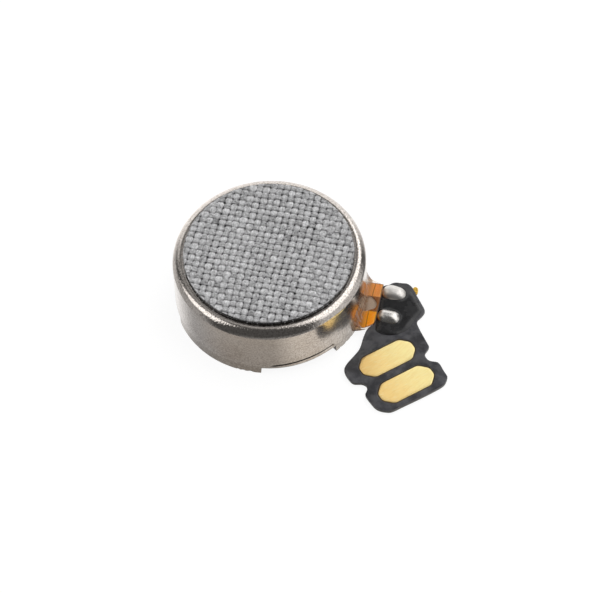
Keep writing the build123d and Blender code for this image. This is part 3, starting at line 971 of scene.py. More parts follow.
# ---------------------------------------------------------------- 3. black tail
# Head and root of the tail as (u, v)
TAIL_OUTLINE = [
    (2.46, 4.87), (2.65, 4.89), (2.86, 4.83), (3.10, 4.62), (3.31, 4.48), (3.39, 4.29),
    (3.42, 4.05), (3.35, 3.64), (3.30, 3.15), (3.25, 2.66), (3.21, 2.50), (3.11, 2.38),
    (2.82, 2.25), (2.57, 2.19), (2.48, 2.09), (2.42, 1.98), (2.35, 1.58), (2.28, 0.96),
    (2.23, 0.47), (2.18, 0.39), (1.99, 0.29), (1.83, 0.21), (1.73, 0.05), (1.72, -0.17),
    (1.79, -0.35), (1.99, -0.52), (2.10, -0.62), (2.13, -0.82), (2.07, -1.26), (2.07, -1.62),
    (2.00, -1.73), (1.75, -1.94), (1.50, -2.01), (0.77, -2.03), (-0.12, -2.02), (-1.00, -1.99),
    (-1.29, -1.99), (-1.52, -1.96), (-1.69, -1.86), (-1.96, -1.62), (-2.10, -1.35),
    (-2.13, -1.01), (-2.15, -0.53), (-2.11, -0.37), (-1.97, -0.28), (-1.85, -0.16),
    (-1.79, -0.02), (-1.79, 0.12), (-1.89, 0.30), (-2.11, 0.43), (-2.24, 0.51), (-2.33, 0.67),
    (-2.35, 1.13), (-2.30, 1.42), (-2.17, 1.60), (-1.93, 1.75), (-1.69, 1.85), (-1.29, 2.01),
    (-0.97, 2.15), (-0.72, 2.36), (-0.41, 2.69), (-0.06, 2.99), (0.13, 3.09), (0.34, 3.15),
]
NECK_END = [(5.62, -1.16), (5.62, 1.30), (5.78, 1.42)]      # the end over the neck, (x, y)
TIE_BAR_END = [(7.20, 1.47), (7.245, 1.535), (7.31, 1.62), (7.46, 1.58), (7.52, 1.39),
               (7.51, 1.17), (7.475, 1.15), (7.36, 1.30)]   # (x, y)
OUTLINE_STEP = 0.035
CONTACT_LENGTH, CONTACT_WIDTH = 3.05, 1.35
CONTACT_CHAMFER, CONTACT_ROUND = 0.45, 0.10
BEND_HALF = 0.10            # half length of the tail's bend zone, to each side of BEND_V
COVER_BOTTOM = SHEET_Z1 - 0.02


def cover_film_material():
    material = new_material("tail_cover_film")
    base = (0.027, 0.027, 0.034)
    point = object_mm()
    soft = noise(point, scale=0.75, detail=2.0, rough=0.5)
    grain = noise(point, scale=9.0)
    dust = (ramp(cells(point, 4.2), 0.02, 0.06, to=FALL)
            * ramp(noise(point, scale=1.9, detail=1.0, rough=0.5), 0.50, 0.62))
    painted_sheen = (noise(point, scale=1.5, rough=0.55) * 0.75
            + noise(point, scale=7.5, detail=2.0) * 0.25)
    # painted sheen: the film's colour runs lighter and darker in broad patches, with lighter grey spots
    colour = mix(ramp(soft, 0.35, 0.65), toned(base, 0.75), toned(base, 1.55))
    colour = mix(ramp(painted_sheen, 0.40, 0.62, to=(0.0, 0.105)), colour, (0.50, 0.50, 0.50))
    colour = mix(dust * 0.5, colour, (0.20, 0.19, 0.18))
    return finish(
        material, Base_Color=colour, Roughness=0.40 + (soft - 0.5) * 0.20 + (grain - 0.5) * 0.22,
        Specular_IOR_Level=0.5, Coat_Weight=0.35, Coat_Roughness=0.22,
        Normal=bump(grain * 0.30 + soft * 14.0, depth=0.012))


def gold_material():
    material = new_material("contact_gold")
    x, y, _ = split(object_mm())

    def along(axis):
        return ((x - float(TAIL_ORIGIN[0])) * float(axis[0])
                + (y - float(TAIL_ORIGIN[1])) * float(axis[1]))

    u = along(U_AXIS)
    flat = join(u, along(V_AXIS), 0.0)

    def polish_lines(degrees, factors):
        turned = node("ShaderNodeMapping", {"Vector": flat,
                                            "Rotation": (0, 0, math.radians(degrees))},
                      vector_type="POINT")
        return noise(stretch(turned, factors))

    fine = polish_lines(-14, (1.3, 26.0, 1.0))
    coarse = polish_lines(9, (2.0, 14.0, 1.0))
    soft = noise(flat, scale=0.9, rough=0.55)
    # painted light: the contacts run lighter towards +u and darker towards -u
    side = ramp(u + (soft - 0.5) * 2.0, -1.5, 1.3)
    colour = mix(side, (0.98, 0.70, 0.28), (1.0, 0.86, 0.40))
    colour = mix(ramp(fine, 0.40, 0.75) * 0.50, colour, (0.84, 0.56, 0.18))
    colour = mix(ramp(coarse, 0.52, 0.75) * 0.6, colour, (1.0, 0.90, 0.55))
    # an even slope that shades the contacts as if they fell away towards +Y
    slope = bump(x * 0.046 + y * -0.185, depth=1.0)
    return finish(
        material, Base_Color=colour, Metallic=1.0,
        Roughness=0.33 + (fine - 0.5) * 0.25 + (soft - 0.5) * 0.12,
        Normal=bump(fine * 0.7 + coarse * 0.6 + soft * 2.5, depth=0.0045, normal=slope))


def contact_outline(v, grow):
    """Octagon with rounded corners, centred at (0, v), grown on all sides."""
    length, width = CONTACT_LENGTH / 2 + grow, CONTACT_WIDTH / 2 + grow
    cut = CONTACT_CHAMFER + 0.4 * grow
    corners = [(length, -width + cut), (length, width - cut), (length - cut, width),
               (-length + cut, width), (-length, width - cut), (-length, -width + cut),
               (-length + cut, -width), (length - cut, -width)]
    rounded = []
    for i in range(8):
        before, corner, after = (np.array(corners[(i + k) % 8]) for k in (-1, 0, 1))
        back, ahead = np.linalg.norm(before - corner), np.linalg.norm(after - corner)
        reach = min(CONTACT_ROUND * 1.6, 0.33 * min(back, ahead))
        start = corner + (before - corner) / back * reach
        end = corner + (after - corner) / ahead * reach
        for s in (0.0, 0.25, 0.5, 0.75, 1.0):
            rounded.append((1 - s) ** 2 * start + 2 * s * (1 - s) * corner + s * s * end)
    return resample(np.array([tail_to_xy(p[0], p[1] + v) for p in rounded]), OUTLINE_STEP)


def tail_points():
    """Interior points in rows along u, closer together where the tail bends."""
    rows = [*np.arange(-2.2, BEND_V - 0.13, 0.13),
            *np.arange(BEND_V - 0.12, BEND_V + 0.125, 0.02),
            *np.arange(BEND_V + 0.25, 5.2, 0.13)]
    points = []
    for i, v in enumerate(rows):
        step = 0.07 if abs(v - BEND_V) < 0.13 else 0.13
        for u in np.arange(-2.6, 3.8, step):
            points.append(tail_to_xy(u + (0.035 if i % 2 else 0.0), v))
    return np.array(points)


def wave(xy):
    """Slow unevenness of the film, a few microns."""
    place = xy_to_tail(xy)
    return 0.007 * (perlin_map(place, 0.55, 1.7) + 0.5 * perlin_map(place, 1.4, 5.1))


def wavy(z):
    return lambda xy: z + wave(xy)


def clip_below(loop, limit):
    """The part of a loop with v up to limit."""
    kept = []
    loop = xy_to_tail(loop)
    for here, after in zip(loop, np.roll(loop, -1, 0)):
        if here[1] <= limit:
            kept.append(here)
        if (here[1] - limit) * (after[1] - limit) < 0:
            part = (limit - here[1]) / (after[1] - here[1])
            kept.append(here + (after - here) * part)
    return np.array([tail_to_xy(*point) for point in kept])


def build_tail_sheets(outline):
    # the edges' light grey is partly the cut film's own colour, partly painted highlight along them
    edge = dielectric("tail_film_edge", (0.17, 0.165, 0.16), rough=0.38, relief=0.003, scale=14)
    brown = dielectric("tail_base_film", (0.045, 0.026, 0.012), rough=0.45)
    openings = [contact_outline(v, 0.085) for v in (CONTACT_V, -CONTACT_V)]

    def cover_top(xy):
        """The cover film stands slightly proud round each opening."""
        away = np.minimum(distance(openings[0], xy), distance(openings[1], xy))
        return SHEET_Z1 + wave(xy) + 0.006 * np.exp(-(away / 0.10) ** 2)

    points = tail_points()
    base = plate("tail_base_film", outline, wavy(COVER_BOTTOM), wavy(SHEET_Z0), [brown, edge],
                 points=points)
    cover = plate("tail_cover_film", outline, cover_top, wavy(COVER_BOTTOM - 0.001),
                  [cover_film_material(), edge], holes=openings, points=points, bevel=0.007)
    start, end = (tuple(np.append(tail_to_xy(0, v), 0.19) * MM)
                  for v in (BEND_V + BEND_HALF, BEND_V - BEND_HALF))
    for sheet in (base, cover):
        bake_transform(sheet)
        if sheet is base:
            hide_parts("tail_root", "tail_bend_strip", "tail_head")


def build_stiffener(outline):
    """Plate under the head, cut straight across before the bend."""
    cad_verts = frame["nodes"]["tail_stiffener"].data.vertices
    end_v = float(max(xy_to_tail(np.array([vert.co[:2] for vert in cad_verts]) * 1000)[:, 1]))
    shape = offset(resample(clip_below(outline, end_v), OUTLINE_STEP), 0.012)
    # light grey, partly painted highlight for the plate's edges
    laminate = dielectric("stiffener_laminate", (0.26, 0.25, 0.24), rough=0.42, relief=0.003,
                          scale=12)
    piece = plate("tail_stiffener_plate", resample(shape, OUTLINE_STEP), wavy(STIFFENER_Z1),
                  wavy(STIFFENER_Z0), [laminate], bevel=0.014)
    register(piece, ["tail_stiffener"], rides="tail")


def build_contacts():
    gold = gold_material()
    for name, v, replaces in (("contact_pad_near", CONTACT_V, ["tail_contacts"]),
                              ("contact_pad_far", -CONTACT_V, [])):
        outline = contact_outline(v, 0.022)

        def top(xy):
            return GOLD_Z1 + wave(xy) - 0.006 * np.exp(-distance(outline, xy) / 0.05)

        piece = plate(name, outline, top, wavy(COVER_BOTTOM - 0.004), [gold], step=0.10,
                      bevel=0.008)
        register(piece, replaces, rides="tail")


def build_tie_bar_end():
    gold = metal("tie_bar_gold", (0.90, 0.56, 0.10), rough=0.34, vary=0.2, relief=0.008)
    piece = plate("tie_bar_end", resample(chaikin(TIE_BAR_END, rounds=1), 0.02),
                  lambda xy: 0.225 + 0.02 * perlin_map(xy, 6), STUB_Z0 - 0.03, [gold], step=0.04)
    register(piece, ["tie_bar_stub"])


tail_loop = np.array([tail_to_xy(u, v) for u, v in TAIL_OUTLINE]
                     + [np.array(point) for point in NECK_END])
tail_loop = wound(resample(chaikin(tail_loop), OUTLINE_STEP))
build_tail_sheets(tail_loop)
build_stiffener(tail_loop)
build_contacts()
build_tie_bar_end()


# ---------------------------------------------------------------- 4. glue dome and solder joints
GLUE_OUTLINE = [
    (5.72, 1.34), (6.05, 1.52), (6.60, 1.62), (6.93, 1.56), (7.13, 1.34), (7.38, 1.00),
    (7.62, 0.65), (7.92, 0.20), (7.93, 0.02), (7.76, -0.32), (7.68, -0.60), (7.58, -0.92),
    (7.42, -1.20), (7.12, -1.44), (6.86, -1.60), (6.36, -1.70), (5.90, -1.60), (5.72, -1.35),
]
# Solder joints along X: start x, end x, y, half width, height
FAR_JOINT = (5.68, 6.98, 0.95, 0.44, 0.36)
NEAR_JOINT = (5.72, 6.94, -0.58, 0.44, 0.42)


def glue_material():
    material = new_material("black_epoxy")
    point = object_mm()
    soft = noise(point, scale=1.6, detail=2.0, rough=0.5)
    fine = noise(point, scale=7.0, detail=2.0, rough=0.5)
    return finish(
        material, Base_Color=mix(soft, (0.010, 0.010, 0.011), (0.020, 0.020, 0.022)),
        Roughness=0.16 + ramp(soft, 0.40, 0.70) * 0.24 + (fine - 0.5) * 0.06,
        Specular_IOR_Level=0.42, Coat_Weight=0.12, Coat_Roughness=0.10,
        Normal=bump(soft + fine * 0.25, depth=0.020))


def soft_distance(loop, points):
    """Distance to the loop, rounded where two sides are equally near."""
    step = np.linalg.norm(np.roll(loop, -1, 0) - loop, axis=1)
    gap = np.hypot(points[:, None, 0] - loop[None, :, 0], points[:, None, 1] - loop[None, :, 1])
    return (np.sum(step[None] * 0.75 / np.maximum(gap, 1e-4) ** 5, axis=1)) ** -0.25


def build_glue():
    loop = wound(resample(chaikin(GLUE_OUTLINE), 0.03))

    def top(xy):
        away = np.minimum(soft_distance(loop, xy), distance(loop, xy) * 1.05)
        part = np.clip(away / 0.32, 0, 1)
        z = SHEET_Z1 + 0.006 + 0.060 * (part * (2 - part)) ** 1.1
        z += (0.020 * perlin_map(xy, 1.3, 2.2) + 0.006 * perlin_map(xy, 3.7, 8.8)) * part
        # the glue wets the solder joints and climbs them
        for start, end, y, half, _ in (FAR_JOINT, NEAR_JOINT):
            beyond = np.maximum(start + half - xy[:, 0], xy[:, 0] - (end - half))
            gap = np.hypot(np.maximum(beyond, 0), xy[:, 1] - y) - half
            z += 0.030 * np.exp(-np.maximum(gap, 0) / 0.08) * part
        return z

    piece = plate("black_glue_dome", loop, top, SHEET_Z1 - 0.008, [glue_material()], step=0.055,
                  bevel=0.006, angle=60)
    register(piece, ["solder_glue"])


def solder_material(name, rough, dark, relief):
    material = new_material(name)
    point = object_mm()
    soft = noise(point, scale=2.2)
    fine = noise(point, scale=13.0)
    colour = mix(soft, toned((0.80, 0.77, 0.73), dark), (0.90, 0.88, 0.85))
    # brown flux residue low on the joint
    flux = ramp(split(point)[2] + (fine - 0.5) * 0.1, 0.27, 0.40, to=FALL)
    return finish(
        material, Base_Color=mix(flux * 0.6, colour, (0.20, 0.13, 0.08)), Metallic=1.0,
        Roughness=rough + (fine - 0.5) * 0.18 + (soft - 0.5) * 0.15,
        Normal=bump(fine + soft * 1.5, depth=relief))


def build_solder(name, joint, material, replaces=(), *, seed, lean, rugged):
    """Rounded half barrel; lean slants it in Y, rugged scales its unevenness."""
    start, end, middle_y, half, height = joint
    along, around = 46, 26
    verts, faces = [], []
    for i in range(along + 1):
        t = 0.5 - 0.5 * math.cos(math.pi * (0.006 + 0.988 * i / along))
        girth = (1 - abs(2 * t - 1) ** 2.7) ** 0.5
        x = start + (end - start) * t
        skew = 1.04 + 0.07 * math.sin(math.pi * t * 1.3 + seed)
        crest = 0.92 + 0.10 * math.sin(2.3 * t + seed)
        for k in range(around + 1):
            turn = math.pi * k / around
            y = middle_y + lean * (t - 0.5) + half * girth * skew * math.cos(turn)
            z = SHEET_Z1 - 0.004 + height * girth * crest * max(math.sin(turn), 0.0)
            swell = rugged * (0.016 * perlin(x * 2.0, y * 2.0, z * 2.0 + seed * 7)
                              + 0.003 * perlin(x * 6, y * 6, z * 6 + seed))
            lift = swell * math.sin(turn) if 0 < k < around else 0
            verts.append((x, y + swell * math.cos(turn), z + lift))
    width = around + 1
    for i in range(along):
        here, there = i * width, (i + 1) * width
        faces += [strip_quad(here + k, there + k) for k in range(around)]
        faces.append((here + around, there + around, there, here))
    faces.append(tuple(range(width)))
    faces.append(tuple(along * width + k for k in reversed(range(width))))
    register(make_object(name, verts, faces, [material], angle=70), replaces)


build_glue()
build_solder("solder_joint_far", FAR_JOINT,
             solder_material("solder_satin", rough=0.40, dark=0.80, relief=0.010),
             ["tail_solder"], seed=1.0, lean=-0.02, rugged=1.0)
build_solder("solder_joint_near", NEAR_JOINT,
             solder_material("solder_bright", rough=0.29, dark=0.72, relief=0.003),
             seed=2.6, lean=-0.04, rugged=0.45)


# ---------------------------------------------------------------- 5. amber neck and clear bead
# (x, y) outlines: the window over the metal tongue, and the end of the neck
WINDOW = [(4.93, 0.55), (5.18, 0.58), (5.35, 0.48), (5.52, 0.29), (5.60, 0.04), (5.54, -0.20),
          (5.29, -0.30), (5.11, -0.46), (4.93, -0.44)]
NECK = [(5.18, -1.45), (5.46, -1.28), (5.62, -1.12), (5.69, -0.92), (5.69, 1.40)]
DISC_R, SHAFT_HOLE_R = 4.0, 0.90
BEAD_START, BEAD_END = -1.80, 1.62      # in y


def amber_material(name, deep, glow=0.0):
    """Half-clear film; deep is its opacity, glow its emission, a painted glow that makes up for the light the case
    keeps off the film.
    """
    material = new_material(name)
    point = object_mm()
    x, y, _ = split(point)
    soft = noise(point, scale=2.0)
    fine = noise(point, scale=12.0)
    # what shines through, a deeper yellow towards the near joint
    tint = mix(soft, (0.93, 0.66, 0.40), (0.97, 0.72, 0.46))
    tint = mix(ramp(y, -0.45, -0.30, to=FALL) * 0.9, tint, (1.0, 0.68, 0.055))
    # the film's own colour: orange on the far joint's side, yellow on the near one's
    far = window(y, 0.56, 1.36, soft=0.03) * ramp(x, 4.80, 4.90)
    near = ramp(y, -0.42, -0.36, to=FALL) * ramp(x, 4.80, 4.90)
    shade = ramp(soft, 0.25, 0.75, to=(0.86, 1.12))
    own = mix(far, (0.30, 0.115, 0.028), (0.92, 0.42, 0.105))
    own = mix(near, own, (1.0, 0.43, 0.008))
    # painted reflection of the case's wall: the film turns browner next to it
    at_wall = ramp(x, 5.02, 5.30, to=FALL) * calc("MAXIMUM", far, near) * 0.45
    own = mix(at_wall, own, (0.62, 0.30, 0.10))
    own = mix((1.0 - shade) * 0.8, own, (0.45, 0.18, 0.03))
    # brown line across the neck, painted shade of a crease, and the brown end band
    wander = noise(point, scale=3.0, detail=1.0, rough=0.5) - 0.5
    line = 5.235 + calc("ABSOLUTE", y) * 0.03 + wander * 0.05
    crease = window(x - line, -0.018, 0.018, soft=0.016)
    band = ramp(x + (soft - 0.5) * 0.12, 5.60, 5.68)
    dark = calc("MAXIMUM", crease * 0.80, band * 0.75)
    tint = mix(dark, tint, (0.22, 0.085, 0.02))
    own = mix(dark, own, (0.10, 0.035, 0.008))
    clear = node("ShaderNodeBsdfTransparent", {0: tint})
    body = principled(
        Base_Color=own, Roughness=0.16 + fine * 0.12, Specular_IOR_Level=0.5,
        Coat_Weight=0.3, Coat_Roughness=0.08, Emission_Color=own, Emission_Strength=glow,
        Normal=bump(soft * 1.2 + fine * 0.2, depth=0.010))
    output(mix_shader(deep + dark * 0.20, clear, body))
    return material


def neck_outline():
    """Disc inside the case with the neck growing out of it, as one loop."""
    start = math.degrees(math.asin(1.40 / DISC_R))
    end = 360 - math.degrees(math.asin(1.45 / DISC_R))
    disc = [(DISC_R * math.cos(math.radians(a)), DISC_R * math.sin(math.radians(a)))
            for a in np.linspace(start, end, 120)]
    return resample(np.array(disc + NECK), 0.05)


def neck_wave(xy):
    return 0.010 * perlin_map(xy, 2.2, 3.0) * smoothstep(4.85, 5.1, xy[:, 0])


def build_neck():
    outline = neck_outline()
    turn = np.linspace(0, 2 * math.pi, 72, endpoint=False)
    shaft_hole = np.stack([SHAFT_HOLE_R * np.cos(turn), SHAFT_HOLE_R * np.sin(turn)], 1)
    holes = [shaft_hole, resample(chaikin(WINDOW), 0.04)]
    base = plate("neck_base_film", outline, FILM_Z1, FILM_Z0,
                 [amber_material("amber_base_film", deep=0.55)],
                 holes=holes, step=0.20, bevel=0.008)
    register(base, ["flex_film"])
    # the cover film also leaves the two brush feet free
    for side in (1, -1):
        foot = [(-1.53, side * 0.87), (-0.60, side * 0.87), (-0.60, side * 1.53),
                (-1.53, side * 1.53)]
        holes.append(resample(np.array(foot), 0.05))
    # the cover film glows a little: painted light
    cover = plate("neck_cover_film", outline, lambda xy: COVER_Z1 + neck_wave(xy),
                  lambda xy: COVER_Z0 + neck_wave(xy) * 0.5,
                  [amber_material("amber_cover_film", deep=0.80, glow=0.30)],
                  holes=holes, bevel=0.008)
    register(cover, ["flex_coverlay"])


def bead_material():
    material = new_material("clear_adhesive")
    point = object_mm()
    soft = noise(point, scale=1.8, distortion=0.4)
    streak = noise(stretch(point, (2.0, 7.0, 0.8)), distortion=0.5)
    # brown, streaked glue next to the wall: partly the deeper glue's tint, partly painted reflection of the case's
    # wall
    deep = ramp(split(point)[0] + (soft - 0.5) * 0.14, 5.00, 5.16, to=FALL)
    tint = mix(deep * ramp(streak, 0.40, 0.62), (0.99, 0.97, 0.94), (0.66, 0.42, 0.22))
    clear = node("ShaderNodeBsdfTransparent", {0: tint})
    body = principled(
        Base_Color=mix(ramp(streak, 0.35, 0.68), (0.30, 0.125, 0.040), (0.95, 0.80, 0.64)),
        Roughness=0.10, Specular_IOR_Level=0.5, Coat_Weight=0.5, Coat_Roughness=0.04,
        Normal=bump(soft + streak * 0.6, depth=0.035))
    fresnel = node("ShaderNodeFresnel", {0: 1.45})
    output(mix_shader(fresnel * 1.1 + deep * 0.34 + 0.01, clear, body))
    return material


def build_bead():
    """Clear adhesive on the neck that climbs the case's wall."""
    stations = np.linspace(BEAD_START, BEAD_END, 64)
    parts = np.linspace(0, 1, 30)           # from the wall to the bead's toe
    floor = COVER_Z1 + 0.002
    verts, faces = [], []
    for y in stations:
        wall = math.sqrt(CASE_R ** 2 - y * y) - 0.015
        k = (y - BEAD_START) / (BEAD_END - BEAD_START)
        edge = min(1.0, min(k / 0.16, (1 - k) / 0.075))
        edge = math.sin(edge * math.pi / 2)
        crest = (0.42 + (1.12 + 0.22 * math.sin(3.0 * k + 0.5)) * edge ** 0.7
                 + 0.05 * perlin(y * 1.6, 0.3))
        toe = wall + 0.03 + (5.56 - wall) * edge ** 0.8 + 0.03 * perlin(y * 2.1, 4.4)
        if y < -0.92:
            toe = min(toe, 5.66 - (-0.92 - y) * 0.42)
        under = []
        for s in parts:
            x = wall + (toe - wall) * s ** 1.15
            z = (floor + (crest - floor) * (1 - s) ** 2.6
                 + 0.012 * perlin(x * 3, y * 3, 6.6) * (1 - abs(2 * s - 1)))
            verts.append((x, y, max(z, floor + 0.001 * (1 - s))))
            under.append((x, y, floor - 0.012 if abs(y) < 1.38 else floor - 0.05 * (1 - s)))
        verts += under
    count = len(parts)
    width = 2 * count
    last = len(stations) - 1
    for i in range(last):
        here, there = i * width, (i + 1) * width
        for k in range(count - 1):
            faces.append(strip_quad(here + k, there + k))
            low, low_next = here + count + k, there + count + k
            faces.append((low + 1, low_next + 1, low_next, low))
        faces.append((here, here + count, there + count, there))
        faces.append((here + count - 1, there + count - 1, there + width - 1, here + width - 1))
    for first in (0, last * width):
        for k in range(first, first + count - 1):
            face = (k, k + 1, count + k + 1, count + k)
            faces.append(face if first == 0 else face[::-1])
    register(make_object("exit_glue_bead", verts, faces, [bead_material()], angle=60),
             ["exit_adhesive"])


build_neck()
build_bead()


# ---------------------------------------------------------------- 6. wound coils
WIRE_PITCH, COIL_BORE_R, TURN_DEPTH, COIL_SEGMENTS = 0.079, 0.45, 0.02, 72


def coil_profile(outer, bottom, top):
    """Closed section of a coil as (radius, z), scalloped by its turns."""
    across = int((outer - COIL_BORE_R) / WIRE_PITCH)
    high = int((top - bottom) / WIRE_PITCH)
    dr, dz = (outer - COIL_BORE_R) / across, (top - bottom) / high
    # sides: starting corner, step to the next turn, turns, outward direction
    sides = [((COIL_BORE_R, top), (dr, 0), across, (0, 1)),
             ((outer, top), (0, -dz), high, (1, 0)),
             ((outer, bottom), (-dr, 0), across, (0, -1)),
             ((COIL_BORE_R, bottom), (0, dz), high, (-1, 0))]
    profile = []
    for corner, step, turns, outward in sides:
        for i in range(turns):
            for s in (0.08, 0.3, 0.5, 0.7, 0.92):
                sink = TURN_DEPTH * (1 - (2 * s - 1) ** 2) - TURN_DEPTH
                profile.append([corner[axis] + step[axis] * (i + s) + outward[axis] * sink
                                for axis in (0, 1)])
    return profile


def build_coils():
    wire = patchy("enamelled_copper", (0.52, 0.17, 0.055), (0.80, 0.34, 0.13), scale=3.0,
                  grain=dict(scale=20.0, detail=2.0, rough=0.5), rough=0.22, relief=0.003,
                  Metallic=0.85, Coat_Weight=0.6, Coat_Roughness=0.1)
    for name in ("coil_a", "coil_b"):
        low, high = piece_box(name)
        profile = coil_profile((high[0] - low[0]) / 2, low[2], high[2])
        middle = (low + high) / 2
        verts = []
        for i in range(COIL_SEGMENTS):
            turn = 2 * math.pi * i / COIL_SEGMENTS
            for radius, z in profile:
                verts.append((middle[0] + radius * math.cos(turn),
                              middle[1] + radius * math.sin(turn), z))
        faces = ring_faces(COIL_SEGMENTS, len(profile), closed=True)
        register(make_object(name + "_winding", verts, faces, [wire], angle=80),
                 [name], rides="rotor")


build_coils()


# ---------------------------------------------------------------- 7. finishes of kept CAD pieces
def base_plate_material():
    material = new_material("base_plate_steel")
    x, y, _ = split(object_mm())
    radius = calc("SQRT", x * x + y * y)
    point = object_mm()
    cloud = noise(point, scale=0.6, rough=0.55)
    rings = noise(join(radius * 9.0, 0.0, 0.0), detail=2.0)
    grain = noise(point, scale=15.0)
    # the tongue's paleness is partly painted light, brighter than its own colour to make up for the little light
    # reaching it
    tongue = ramp(x, 4.70, 4.95)                # the tongue at +X is pale and matt
    colour = mix(cloud, (0.55, 0.53, 0.50), (0.66, 0.64, 0.61))
    return finish(
        material, Base_Color=mix(tongue, colour, (1.0, 0.94, 0.87)),
        Metallic=1.0 - tongue * 0.95, Roughness=0.30 + grain * 0.16 + tongue * 0.25,
        Normal=bump(grain * 0.6 + rings * 0.5, depth=0.005))


def board_material():
    material = new_material("commutator_laminate")
    point = object_mm()
    weave = (calc("SINE", split(point)[0] * 42.0)
             * calc("SINE", split(point)[1] * 42.0))
    patches = noise(point, scale=2.0, rough=0.5)
    return finish(
        material, Roughness=0.35, Coat_Weight=0.4, Coat_Roughness=0.15,
        Base_Color=mix(weave * 0.12 + patches * 0.8, (0.015, 0.085, 0.035), (0.03, 0.17, 0.07)),
        Normal=bump(weave + patches, depth=0.004))


def sinter_material():
    material = new_material("sintered_bronze")
    point = object_mm()
    pores = ramp(cells(point, 17.0), 0.05, 0.30)
    colour = mix(pores, (0.14, 0.08, 0.03), (0.56, 0.36, 0.17))
    patches = noise(point, scale=6.0, rough=0.5)
    return finish(material, Base_Color=mix(patches * 0.4, colour, (0.42, 0.26, 0.12)),
                  Metallic=0.9, Roughness=0.5, Normal=bump(pores, depth=0.006))


finishes = {
    "base_plate": base_plate_material(),
    "shaft": metal("ground_shaft", (0.74, 0.74, 0.75), rough=0.12, vary=0.05, brush=0.3),
    "ring_magnet": patchy("plated_magnet", (0.30, 0.30, 0.31), (0.46, 0.46, 0.47), scale=4.0,
                          grain=dict(scale=18.0), rough=0.34, relief=0.006, Metallic=1.0),
    "flex_copper": patchy("flex_conductor_copper", (0.86, 0.62, 0.42), (0.98, 0.78, 0.56),
                          scale=2.4, grain=dict(scale=15.0), rough=0.50, relief=0.006,
                          Metallic=0.30),
    "brush_a_foot": metal("brush_alloy_foot", (0.86, 0.62, 0.32), rough=0.26),
    "brush_solder": metal("brush_solder_tin", (0.80, 0.79, 0.77), rough=0.24, relief=0.006),
    "brush_a_leaf": metal("brush_alloy_leaf", (0.88, 0.66, 0.36), rough=0.22, brush=0.4),
    "lower_washer": dielectric("washer_film", (0.78, 0.75, 0.66), rough=0.35, scale=10),
    "bearing": sinter_material(),
    "commutator_board": board_material(),
    "commutator_segments": metal("commutator_copper", (0.90, 0.62, 0.32), rough=0.16, brush=0.5),
    "rotor_moulding": dielectric("rotor_resin", (0.022, 0.022, 0.024), rough=0.55, relief=0.010,
                                 scale=11),
    "eccentric_weight": metal("sintered_tungsten", (0.40, 0.40, 0.41), rough=0.44, vary=0.2,
                              relief=0.010),
    "coil_lead_solder": metal("lead_solder_tin", (0.82, 0.81, 0.79), rough=0.20, relief=0.006),
    "pad_adhesive": dielectric("pad_adhesive_film", (0.028, 0.027, 0.026), rough=0.45,
                               relief=0.004, scale=12),
}
finishes["brush_b_foot"] = finishes["brush_a_foot"]
finishes["brush_b_leaf"] = finishes["brush_a_leaf"]
finishes["upper_washer"] = finishes["lower_washer"]
for piece_name, piece_finish in finishes.items():
    cad_piece = frame["nodes"][piece_name]
    cad_piece.data.materials.clear()
    cad_piece.data.materials.append(piece_finish)
    cad_piece.material_slots[0].link = "OBJECT"
    cad_piece.material_slots[0].material = piece_finish


# ---------------------------------------------------------------- 8. floor, world and camera
def floor_material():
    """Grey to the camera, glowing white to other rays, clear from below."""
    material = new_material("floor_white")
    glow = node("ShaderNodeEmission", {0: (1.0, 1.0, 1.0), 1: 0.90})
    matt = node("ShaderNodeBsdfDiffuse", {0: (0.20, 0.20, 0.20)})
    lit = node("ShaderNodeAddShader", {0: glow, 1: matt})
    seen = node("ShaderNodeBsdfDiffuse", {0: (0.55, 0.54, 0.52)})
    is_camera = node("ShaderNodeLightPath", out="Is Camera Ray")
    front = mix_shader(is_camera, lit, seen) if False else mix_shader(is_camera, seen, lit)
    clear = node("ShaderNodeBsdfTransparent")
    below = node("ShaderNodeNewGeometry", out="Backfacing")
    output(mix_shader(below, front, clear))
    return material


def build_floor():
    half, z = 0.45, -0.00002                    # metres
    bm = bmesh.new()
    bm.faces.new([bm.verts.new((x, y, z))
                  for x, y in ((-half, -half), (half, -half), (half, half), (-half, half))])
    mesh = bpy.data.meshes.new("studio_floor")
    bm.to_mesh(mesh)
    bm.free()
    floor = link_object("studio_floor", mesh)
    mesh.materials.append(floor_material())
    floor.visible_glossy = False


# Soft lights, in degrees: azimuth, half width, softness; low and high elevation, softness;
# then power
LIGHTS = [
    (102, 38, 20, -46, 43, 3, 1.04),            # bright background on the +Y side
    (142, 24, 14, -46, 4, 6, 0.30),
    (25, 51, 4, 27, 79, 3, 1.40),               # softbox on the +X side
    (200, 24, 4, 20, 65, 3, 1.46),              # softbox on the -X side
    (2, 32, 10, -46, 25, 6, 0.58),
    (186, 28, 12, -46, 14, 8, 0.34),
    (100, 60, 20, 50, 84, 6, 0.30),             # ceiling above the background
]


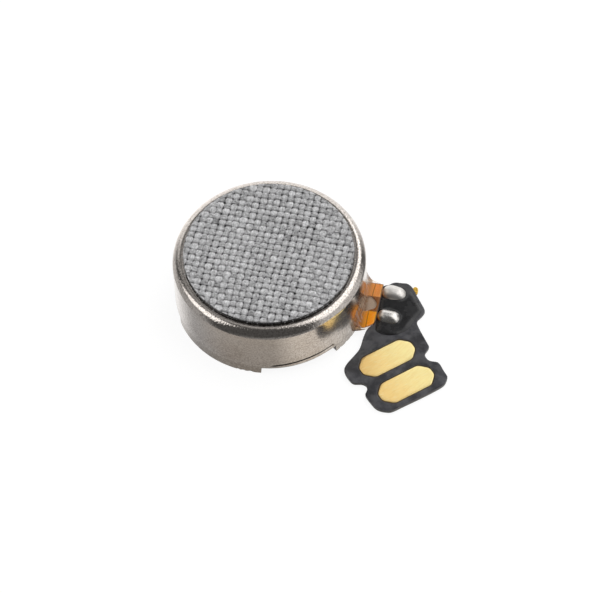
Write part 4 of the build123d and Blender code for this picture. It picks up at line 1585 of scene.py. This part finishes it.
def build_world():
    world = bpy.data.worlds.new("studio")
    bpy.context.scene.world = world
    start_tree(world)
    x, y, z = split(node("ShaderNodeTexCoord", out="Generated"))
    level = calc("SQRT", x * x + y * y) + 1e-5
    elevation = calc("ARCTAN2", z, level) * (180 / math.pi)

    def around(azimuth, half, soft):
        turn = math.radians(azimuth)
        facing = (x * math.cos(turn) + y * math.sin(turn)) / level
        return ramp(facing, math.cos(math.radians(min(180, half + soft))),
                    math.cos(math.radians(max(0, half - soft))))

    upper = 0.085                               # ambient
    for azimuth, half, soft, low, high, edge, power in LIGHTS:
        upper = upper + around(azimuth, half, soft) * window(elevation, low, high, edge) * power
    upper = upper + ramp(elevation, 78, 86) * 0.10          # overhead
    upper = upper + window(elevation, -46, -22, soft=10) * around(-60, 40, 25) * 0.16
    # table top: ambient, the part on the +Y side, the part on the +X side
    table = 0.40 + around(100, 42, 38) * 0.78 + around(-15, 40, 25) * 0.42
    is_table = ramp(elevation, -50, -44, to=FALL)
    power = upper * (1.0 - is_table) + table * is_table
    tint = mix(around(-80, 75, 30) * is_table, (1.0, 0.995, 0.99), (1.0, 0.94, 0.875))
    studio = node("ShaderNodeBackground", {0: tint, 1: power})
    seen = node("ShaderNodeBackground", {0: (1, 1, 1), 1: 0.985})
    is_camera = node("ShaderNodeLightPath", out="Is Camera Ray")
    output(mix_shader(is_camera, studio, seen), kind="ShaderNodeOutputWorld")


def build_camera():
    data = bpy.data.cameras.new("camera")
    camera = link_object("camera", data)
    right = (0.97961945, 0.19811821, -0.03308949)
    up = (-0.14281412, 0.80283869, 0.57883864)
    back = (0.141244, -0.56231594, 0.81477047)
    turn = Matrix((right, up, back)).transposed().to_4x4()
    place = (0.0366084, -0.1404198, 0.2035776)  # metres
    camera.matrix_world = Matrix.Translation(place) @ turn
    data.sensor_width = 36.0
    data.lens = 291.52
    data.clip_start, data.clip_end = 0.001, 10.0
    bpy.context.scene.camera = camera


build_floor()
build_world()
build_camera()
bpy.context.scene.view_settings.view_transform = "Standard"
bpy.context.scene.view_settings.look = "None"
